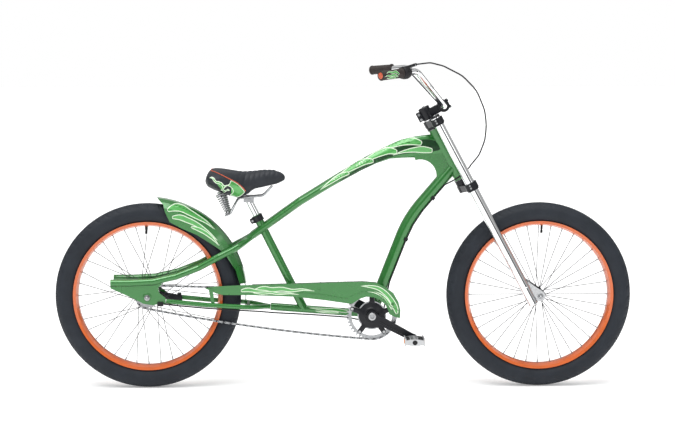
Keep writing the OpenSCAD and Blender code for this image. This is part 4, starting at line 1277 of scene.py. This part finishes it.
def remeshed(mesh, voxel):
    """The mesh remade in even cells, so that cloth can bend anywhere."""
    obj = bpy.data.objects.new("remesh", mesh)
    bpy.context.scene.collection.objects.link(obj)
    change = obj.modifiers.new("cells", "REMESH")
    change.mode = "VOXEL"
    change.voxel_size = voxel
    made = bpy.data.meshes.new_from_object(obj.evaluated_get(bpy.context.evaluated_depsgraph_get()))
    bpy.data.objects.remove(obj)
    return made


def dent(x, line):
    """How near a line a place is, from 0 to 1."""
    return math.exp(-((x - line) / 2.6) ** 2)


class BIKE_OT_saddle(bpy.types.Operator):
    """Padded saddle with sewn pleats, piping and a flame panel on each side"""
    bl_idname = "bike.saddle"
    bl_label = "Saddle"

    def execute(self, context):
        bm = node_mesh("saddle")
        bm.transform(TO_ROW)
        mesh = bpy.data.meshes.new("saddle_form")
        bm.to_mesh(mesh)
        bm.free()
        mesh = remeshed(mesh, 0.0045)
        saddle = bpy.data.objects.new("padded_saddle", mesh)
        context.scene.collection.objects.link(saddle)
        low = (722.0 - RIDER[1]) / 1000.0
        pinned = [
            v.index for v in mesh.vertices
            if v.normal.z < -0.25 or (abs(v.co.y) < 0.0365 and v.co.z < low)
            or abs(v.co.y) < 0.075 and v.co.z < (700.0 - RIDER[1]) / 1000.0
        ]
        settled = simulated(saddle, 20, 4.0, pinned, 0.003)
        saddle.data = settled
        mesh = settled
        bm = bmesh.new()
        bm.from_mesh(mesh)
        bm.transform(FROM_ROW)
        free = [v for v in bm.verts if not (abs(v.co.y) < 36.5 and v.co.z < 722.0)]
        for _ in range(6):
            bmesh.ops.smooth_vert(
                bm, verts=free, factor=0.5, use_axis_x=True, use_axis_y=True, use_axis_z=True)
        bmesh.ops.subdivide_edges(bm, edges=bm.edges, cuts=1, use_grid_fill=True, smooth=0.0)
        bm.normal_update()
        for vert in bm.verts:
            x, y, z = vert.co
            top = ease(vert.normal.z, -0.1, 0.35)
            if z < 706.0 and abs(y) < 36.5:
                continue
            half = 22.0 + 60.0 * (1.0 - ease(x, 240.0, 400.0))
            sink = 1.1 * dent(abs(y), half * 0.42) * top * ease(x, 232.0, 250.0)
            pleat = 0.5 - 0.5 * math.cos(math.tau * (x - 300.0 + 0.22 * abs(y)) / 17.0)
            sink += 1.2 * (1.0 - pleat) ** 3 * top * ease(x, 300.0, 330.0) * (1.0 - ease(x, 455.0, 470.0))
            vert.co -= vert.normal * sink
        settled = bpy.data.meshes.new("padded_saddle")
        for face in bm.faces:
            face.smooth = True
        bm.to_mesh(settled)
        tree = BVHTree.FromBMesh(bm)
        bm.free()
        settled.transform(TO_ROW)
        settled.materials.append(material("vinyl"))
        saddle.data = settled
        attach(saddle, "frame")
        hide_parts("saddle")

        bm = bmesh.new()
        for side in (-1, 1):
            line = []
            for point in smooth_line([(x, 0.0, z) for x, z in SADDLE_PIPING], 6):
                hit, normal = side_hit(tree, point.x, point.z, side)
                if hit is not None:
                    line.append(hit + normal * 0.5)
            add(bm, tube(line, context.scene.bike_sizes.piping, 8), None, 0)
        piece("saddle_piping", bm, ["piping"], "frame")

        stripe = context.scene.bike_sizes.stripe
        bm = bmesh.new()
        for side in (-1, 1):
            decal(bm, tree, SADDLE_PANEL, side, 0.35, stripe, 0, 1)
            for lick in SADDLE_LICKS:
                decal(bm, tree, lick, side, 0.5, stripe, 0, 1)
        piece("saddle_flames", bm, ["pale", "line"], "frame")
        return {"FINISHED"}


SPRING_FOOT = (282.0, 620.0)
SPRING_HEAD = (257.0, 688.0)
SPRING_Y = 56.0


class BIKE_OT_springs(bpy.types.Operator):
    """Conical coil springs under the saddle, with their cups"""
    bl_idname = "bike.springs"
    bl_label = "Springs"

    def execute(self, context):
        turns = context.scene.bike_sizes.spring_turns
        bm = bmesh.new()
        for side in (-1, 1):
            foot = Vector((SPRING_FOOT[0], side * SPRING_Y, SPRING_FOOT[1]))
            head = Vector((SPRING_HEAD[0], side * SPRING_Y, SPRING_HEAD[1]))
            place = span(foot, head)
            length = (head - foot).length
            low, high, wire = 6.0, length - 6.0, 2.3
            line = []
            for k in range(turns * 20 + 1):
                t = k / (turns * 20)
                up = low + (high - low) * t
                radius = 9.0 + 10.0 * up / length - wire
                turn = math.tau * turns * t
                line.append((radius * math.cos(turn), radius * math.sin(turn), up))
            add(bm, tube(line, wire, 10), place, 0)
            foot_cup = spun([(0, 0), (9.0, 0), (9.0, 2.4), (7.6, 4.8), (3.2, 6.6), (0, 6.8)], 32)
            add(bm, foot_cup, place, 0)
            cup = spun([(0, length - 6.5), (4.0, length - 6.5), (15.5, length - 4.0), (19.0, length - 3.4),
                        (19.0, length), (0, length)], 36)
            add(bm, cup, place, 0)
            add(bm, spun([(0, 6.5), (2.6, 6.5), (2.6, length - 6.2), (0, length - 6.2)], 16), place, 1)
        piece("coil_springs", bm, ["steel", "spoke"], "frame", 40.0, ("saddle_springs",))
        return {"FINISHED"}


# Steering: places here are forward, left and up the steering axis, from the head tube's foot

STEM_Z = 238.3
CLAMP = (65.0, 256.3)
LEG_FWD = 18.5
LEG_Y = 66.0
LEG_R = 17.0
UPPER_CROWN_Z = 212.3
LOWER_CROWN_Z = -44.3
CROWN_TALL = (22.0, 24.0)
GRIP_TIP = (803.0, 350.0, 1106.8)
GRIP_BEND = (926.0, 245.0, 1118.8)
GRIP_LEN = 92.0


def grip_place(side):
    """The bar's end, with z pointing inward along the grip."""
    tip = Vector((GRIP_TIP[0], side * GRIP_TIP[1], GRIP_TIP[2]))
    way = (Vector((GRIP_BEND[0], side * GRIP_BEND[1], GRIP_BEND[2])) - tip).normalized()
    return (
        Matrix.Translation(tip)
        @ Matrix.Rotation(math.atan2(way.y, way.x), 4, "Z")
        @ Matrix.Rotation(math.acos(way.z), 4, "Y")
    )


GRIP_FLAMES = (
    ([(862, 1112), (852, 1119), (840, 1117), (829, 1119), (819, 1114)], [2.5, 4, 3.4, 2.4, 0.4]),
    ([(858, 1104), (846, 1109), (834, 1106), (823, 1107), (813, 1103)], [2.5, 4, 3.2, 2.2, 0.4]),
    ([(852, 1098), (841, 1101), (830, 1098), (820, 1099)], [2, 3.2, 2.2, 0.4]),
)


class BIKE_OT_grips(bpy.types.Operator):
    """Ribbed grips with end plugs and a small flame print, and the twist shifter"""
    bl_idname = "bike.grips"
    bl_label = "Grips and shifter"

    def execute(self, context):
        bm = bmesh.new()
        for side in (-1, 1):
            place = grip_place(side)
            line = [(0, -4.3), (13.2, -4.3), (15.8, -3.7), (16.9, -2.2), (17.0, 1.0), (16.2, 2.6)]
            ribs = 16
            run = GRIP_LEN - 10.0
            for k in range(ribs):
                z = 3.0 + run * k / ribs
                w = run / ribs
                line += [(15.3, z + 0.1 * w), (16.0, z + 0.3 * w), (16.0, z + 0.75 * w), (15.3, z + 0.95 * w)]
            line += [(16.4, 86.5), (18.0, 88.2), (18.0, 91.0), (17.0, 92.0), (11.2, 92.0), (11.2, 0.0), (0, 0.0)]
            add(bm, spun(line, 48), place, 0)
            plug = spun([(0, -4.28), (9.5, -4.28), (10.5, -4.15), (11.0, -4.25), (9.0, -5.0), (0, -5.2)], 36)
            add(bm, plug, place, 1)
        bm.normal_update()
        tree = BVHTree.FromBMesh(bm)
        piece("ribbed_grips", bm, ["grip", "piping"], "steering", 35.0, ("grips",))
        bm = bmesh.new()
        for side in (-1, 1):
            for k, (spine, widths) in enumerate(GRIP_FLAMES):
                decal(bm, tree, lick(spine, widths), side, 0.3 + 0.08 * k, 0.8, 0, 1, 3.0)
        piece("grip_flames", bm, ["pale", "line"], "steering", 60.0)

        bm = bmesh.new()
        place = grip_place(-1)
        for k in range(26):
            turn = Matrix.Rotation(math.tau * k / 26, 4, "Z")
            rib = block((1.6, 2.6, 15.0), 0.6, 2)
            add(bm, rib, place @ turn @ Matrix.Translation((20.9, 0.0, GRIP_LEN + 16.0)), 0)
        ring = spun([(17.2, 0.4), (19.4, 1.2), (19.6, 3.0), (18.2, 4.6)], 48)
        add(bm, ring, place @ Matrix.Translation((0, 0, GRIP_LEN)), 0)
        nose = spun([(0, 0), (5.6, 0), (5.6, 2.5), (4.6, 4.0), (4.4, 8.0), (3.4, 9.0), (0, 9.0)], 24)
        way = Vector((-23.3, -1.6, GRIP_LEN + 68.7)) - Vector((-17.3, 0.0, GRIP_LEN + 28.0))
        start = Vector((-17.3, 0.0, GRIP_LEN + 28.0)) + way * 0.78
        add(bm, nose, place @ span(start, start + way), 1)
        screw_place = place @ span((-21.4, 0.0, GRIP_LEN + 12.0), (-30.0, 0.0, GRIP_LEN + 12.0))
        add(bm, spun([(0, 0), (2.6, 0), (2.6, 0.6), (2.0, 1.2), (0, 1.3)], 16), screw_place, 1)
        piece("shifter_ribs", bm, ["plastic", "steel"], "steering")
        return {"FINISHED"}


def screw(radius, tall):
    """A socket screw's head from z = 0 up, with its recess."""
    return spun([(0, tall * 0.45), (radius * 0.45, tall * 0.45), (radius * 0.5, tall), (radius * 0.88, tall),
                 (radius, tall * 0.8), (radius, 0), (0, 0)], 20)


class BIKE_OT_fork_trim(bpy.types.Operator):
    """Stem faceplate and clamp, crown screws, leg caps, seals and headset rings"""
    bl_idname = "bike.fork_trim"
    bl_label = "Fork and stem trim"

    def execute(self, context):
        bm = bmesh.new()
        across = Matrix.Rotation(math.radians(90.0), 4, "X")
        clamp = STEER @ Matrix.Translation((CLAMP[0], 0.0, CLAMP[1])) @ across
        for low, high in ((-23.0, -4.0), (4.0, 23.0)):
            band = spun([(19.2, low), (20.8, low), (21.4, low + 1.0), (21.4, high - 1.0), (20.8, high), (19.2, high)],
                        48, closed=True)
            add(bm, band, clamp, 0)
        for y in (-15.0, 15.0):
            for turn in (32.0, -32.0):
                lug = block((9.0, 13.0, 10.0), 1.6, 3)
                place = (
                    STEER @ Matrix.Translation((CLAMP[0], y, CLAMP[1]))
                    @ Matrix.Rotation(math.radians(turn), 4, "Y") @ Matrix.Translation((21.0, 0, 0))
                )
                add(bm, lug, place, 0)
                add(bm, screw(3.6, 3.0), place @ Matrix.Translation((4.4, 0, 0)) @ Matrix.Rotation(
                    math.radians(90.0), 4, "Y"), 1)
        lug = block((17.0, 26.0, 34.0), 3.0, 3)
        add(bm, lug, STEER @ Matrix.Translation((-25.0, 0.0, STEM_Z + 21.0)), 0)
        slot = block((18.0, 1.2, 35.0), 0.3, 1)
        add(bm, slot, STEER @ Matrix.Translation((-25.4, 0.0, STEM_Z + 21.0)), 2)
        for up in (11.0, 30.0):
            for side in (-1, 1):
                place = STEER @ Matrix.Translation((-26.0, side * 12.8, STEM_Z + up)) @ Matrix.Rotation(
                    math.radians(-90.0 * side), 4, "X")
                add(bm, screw(4.6, 3.4), place, 1)
        top = spun([(0, 42.2), (20.3, 42.2), (20.3, 43.4), (18.6, 45.6), (6.0, 46.6), (0, 46.6)], 44)
        add(bm, top, STEER @ Matrix.Translation((0, 0, STEM_Z)), 0)
        add(bm, screw(5.0, 3.0), STEER @ Matrix.Translation((0, 0, STEM_Z + 46.0)), 1)
        piece("stem_trim", bm, ["black", "steel", "plastic"], "steering")

        bm = bmesh.new()
        for side in (-1, 1):
            leg = STEER @ Matrix.Translation((LEG_FWD, side * LEG_Y, 0.0))
            cap = spun([(0, 237.4), (LEG_R, 237.4), (LEG_R, 240.5), (14.5, 243.0), (8.5, 243.6), (8.5, 242.2),
                        (0, 242.2)], 44)
            add(bm, cap, leg, 0)
            add(bm, hex_part(12.0, 3.0), leg @ Matrix.Translation((0, 0, 242.2)), 1)
            for z0, tall in ((LOWER_CROWN_Z - 5.2, 5.0), (UPPER_CROWN_Z - 4.2, 4.0)):
                seal = spun([(17.1, 0), (20.0, 0), (20.8, 1.2), (20.8, tall - 1.0), (19.6, tall), (17.1, tall)],
                            44, closed=True)
                add(bm, seal, leg @ Matrix.Translation((0, 0, z0)), 0)
            for z0, tall in ((UPPER_CROWN_Z, 22.0), (LOWER_CROWN_Z, 24.0)):
                for share in (0.3, 0.7):
                    place = (
                        STEER @ Matrix.Translation((LEG_FWD - 6.0, side * (LEG_Y + 22.0), z0 + tall * share))
                        @ Matrix.Rotation(math.radians(-90.0 * side), 4, "X")
                    )
                    boss = spun([(0, -1.5), (5.6, -1.5), (5.6, 0.6), (4.8, 1.4), (0, 1.4)], 24)
                    add(bm, boss, place, 0)
                    add(bm, screw(3.4, 2.4), place @ Matrix.Translation((0, 0, 1.0)), 1)
            foot = spun([(0, -507.5), (9.0, -507.5), (14.5, -506.0), (LEG_R, -504.0), (0, -504.0)], 44)
            add(bm, foot, leg, 2)
            collar = spun([(17.05, 0), (17.9, 0.3), (18.2, 1.6), (17.9, 2.9), (17.05, 3.2)], 44)
            add(bm, collar, leg @ Matrix.Translation((0, 0, -440.0)), 2)
        for z0, radius in ((-0.2, 24.6), (-19.0, 22.5), (200.2, 24.6), (209.0, 22.5)):
            ring = spun([(radius - 2.4, 0), (radius, 0), (radius + 0.7, 1.0), (radius, 2.0), (radius - 2.4, 2.0)],
                        56, closed=True)
            add(bm, ring, STEER @ Matrix.Translation((0, 0, z0)), 1)
        piece("fork_trim", bm, ["black", "steel", "chrome"], "steering")
        return {"FINISHED"}


class BIKE_OT_axles(bpy.types.Operator):
    """Axles with hexagon nuts and washers in place of the plain ones"""
    bl_idname = "bike.axles"
    bl_label = "Axles"

    def execute(self, context):
        for name, x, seat, end_r, body in (
            ("front", WHEELBASE, 69.3, 4.7, "steering"), ("rear", 0.0, 72.3, 5.0, "frame"),
        ):
            bm = bmesh.new()
            place = Matrix.Translation((x, 0.0, AXLE_Z)) @ Matrix.Rotation(math.radians(90.0), 4, "X")
            rod = [(0, -88), (end_r - 0.8, -88), (end_r, -87.2), (end_r, -78.3), (5.0, -78.3), (5.0, 78.3),
                   (end_r, 78.3), (end_r, 87.2), (end_r - 0.8, 88), (0, 88)]
            add(bm, spun(rod, 28), place, 0)
            for k in range(7):
                for side in (-1, 1):
                    z = side * (79.2 + 1.15 * k)
                    thread = spun([(end_r - 0.2, z - 0.35), (end_r + 0.16, z), (end_r - 0.2, z + 0.35)], 20)
                    add(bm, thread, place, 0)
            for side in (-1, 1):
                face = place @ Matrix.Rotation(0.0 if side > 0 else math.pi, 4, "X")
                washer = rounded_disc(10.0, 1.6, 0.4, 32, 5.1)
                add(bm, washer, face @ Matrix.Translation((0, 0, seat)), 0)
                add(bm, hex_part(16.6, 7.2), face @ Matrix.Translation((0, 0, seat + 1.7)), 0)
            piece(name + "_axle_nuts", bm, ["steel"], body, 35.0, (name + "_axle",))
        return {"FINISHED"}


SEAT_FOOT = (540.0, 290.0)
SEAT_LEAN = math.radians(-26.6)
COLLAR_UP = 333.0


class BIKE_OT_collar_trim(bpy.types.Operator):
    """Seat collar screw, and two lips round the collar"""
    bl_idname = "bike.collar_trim"
    bl_label = "Seat collar"

    def execute(self, context):
        bm = bmesh.new()
        along = Matrix.Translation((SEAT_FOOT[0], 0.0, SEAT_FOOT[1])) @ Matrix.Rotation(SEAT_LEAN, 4, "Y")
        for side in (-1, 1):
            place = along @ Matrix.Translation((-21.0, side * 7.1, COLLAR_UP + 11.0)) @ Matrix.Rotation(
                math.radians(-90.0 * side), 4, "X")
            add(bm, spun([(3.0, 0), (7.6, 0), (8.2, 0.8), (8.2, 2.4), (7.4, 3.4), (3.0, 3.4)], 32, closed=True),
                place, 0)
            add(bm, screw(4.2, 3.0), place @ Matrix.Translation((0, 0, 0.8)), 1)
        for up in (0.4, 20.0):
            lip = spun([(19.05, 0), (19.9, 0.4), (20.0, 1.2), (19.05, 1.6)], 40)
            add(bm, lip, along @ Matrix.Translation((0, 0, COLLAR_UP + up)), 0)
        piece("collar_screw", bm, ["black", "steel"], "frame")
        return {"FINISHED"}


def low_end(name, lowest):
    """The middle of a cable node's lowest or highest end."""
    points = [FROM_ROW @ v.co for v in NODES[name].data.vertices]
    pick = min if lowest else max
    edge = pick(p.z for p in points)
    near = [p for p in points if abs(p.z - edge) < 2.5]
    return sum(near, Vector()) / len(near)


class BIKE_OT_cable(bpy.types.Operator):
    """The stretch of cable that bends between the steering and the frame"""
    bl_idname = "bike.cable"
    bl_label = "Shift cable"

    def execute(self, context):
        above = low_end("shift_cable_loop", True)
        below = low_end("shift_cable_frame", False)
        line = smooth_line([above + Vector((22, 0, 27)), above, (above + below) / 2 + Vector((6, -1, -5)), below,
                            below + (below - above) * 0.25], 10)[10:31]
        bm = bmesh.new()
        add(bm, tube(line, 2.5, 12), None, 0)
        cable = piece("cable_bend", bm, ["plastic"], None)
        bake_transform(cable)
        return {"FINISHED"}


# The panel and the run

OPERATORS = (BIKE_OT_stage, BIKE_OT_finishes, BIKE_OT_tyres, BIKE_OT_wheel_fittings, BIKE_OT_chain, BIKE_OT_crankset, BIKE_OT_guard_trim, BIKE_OT_flames, BIKE_OT_saddle, BIKE_OT_springs, BIKE_OT_grips, BIKE_OT_fork_trim, BIKE_OT_axles, BIKE_OT_collar_trim, BIKE_OT_cable)


class BIKE_PT_pieces(bpy.types.Panel):
    """Lists the colours, the sizes and the pieces"""
    bl_idname = "BIKE_PT_pieces"
    bl_label = "Bicycle"
    bl_space_type = "VIEW_3D"
    bl_region_type = "UI"
    bl_category = "Bicycle"

    def draw(self, context):
        for group in (context.scene.bike_colours, context.scene.bike_sizes):
            column = self.layout.column(align=True)
            for key in group.__annotations__:
                column.prop(group, key)
        for operator in OPERATORS:
            self.layout.operator(operator.bl_idname)


CLASSES = (BikeColours, BikeSizes, *OPERATORS, BIKE_PT_pieces)


def register():
    for cls in CLASSES:
        bpy.utils.register_class(cls)
    bpy.types.Scene.bike_colours = bpy.props.PointerProperty(type=BikeColours)
    bpy.types.Scene.bike_sizes = bpy.props.PointerProperty(type=BikeSizes)


def unregister():
    del bpy.types.Scene.bike_sizes
    del bpy.types.Scene.bike_colours
    for cls in reversed(CLASSES):
        bpy.utils.unregister_class(cls)


def main():
    register()
    bpy.context.scene.view_settings.view_transform = "Standard"
    for operator in OPERATORS:
        group, name = operator.bl_idname.split(".")
        result = getattr(getattr(bpy.ops, group), name)()
        if "FINISHED" not in result:
            raise RuntimeError(operator.bl_label + " didn't finish")


if __name__ == "__main__":
    main()
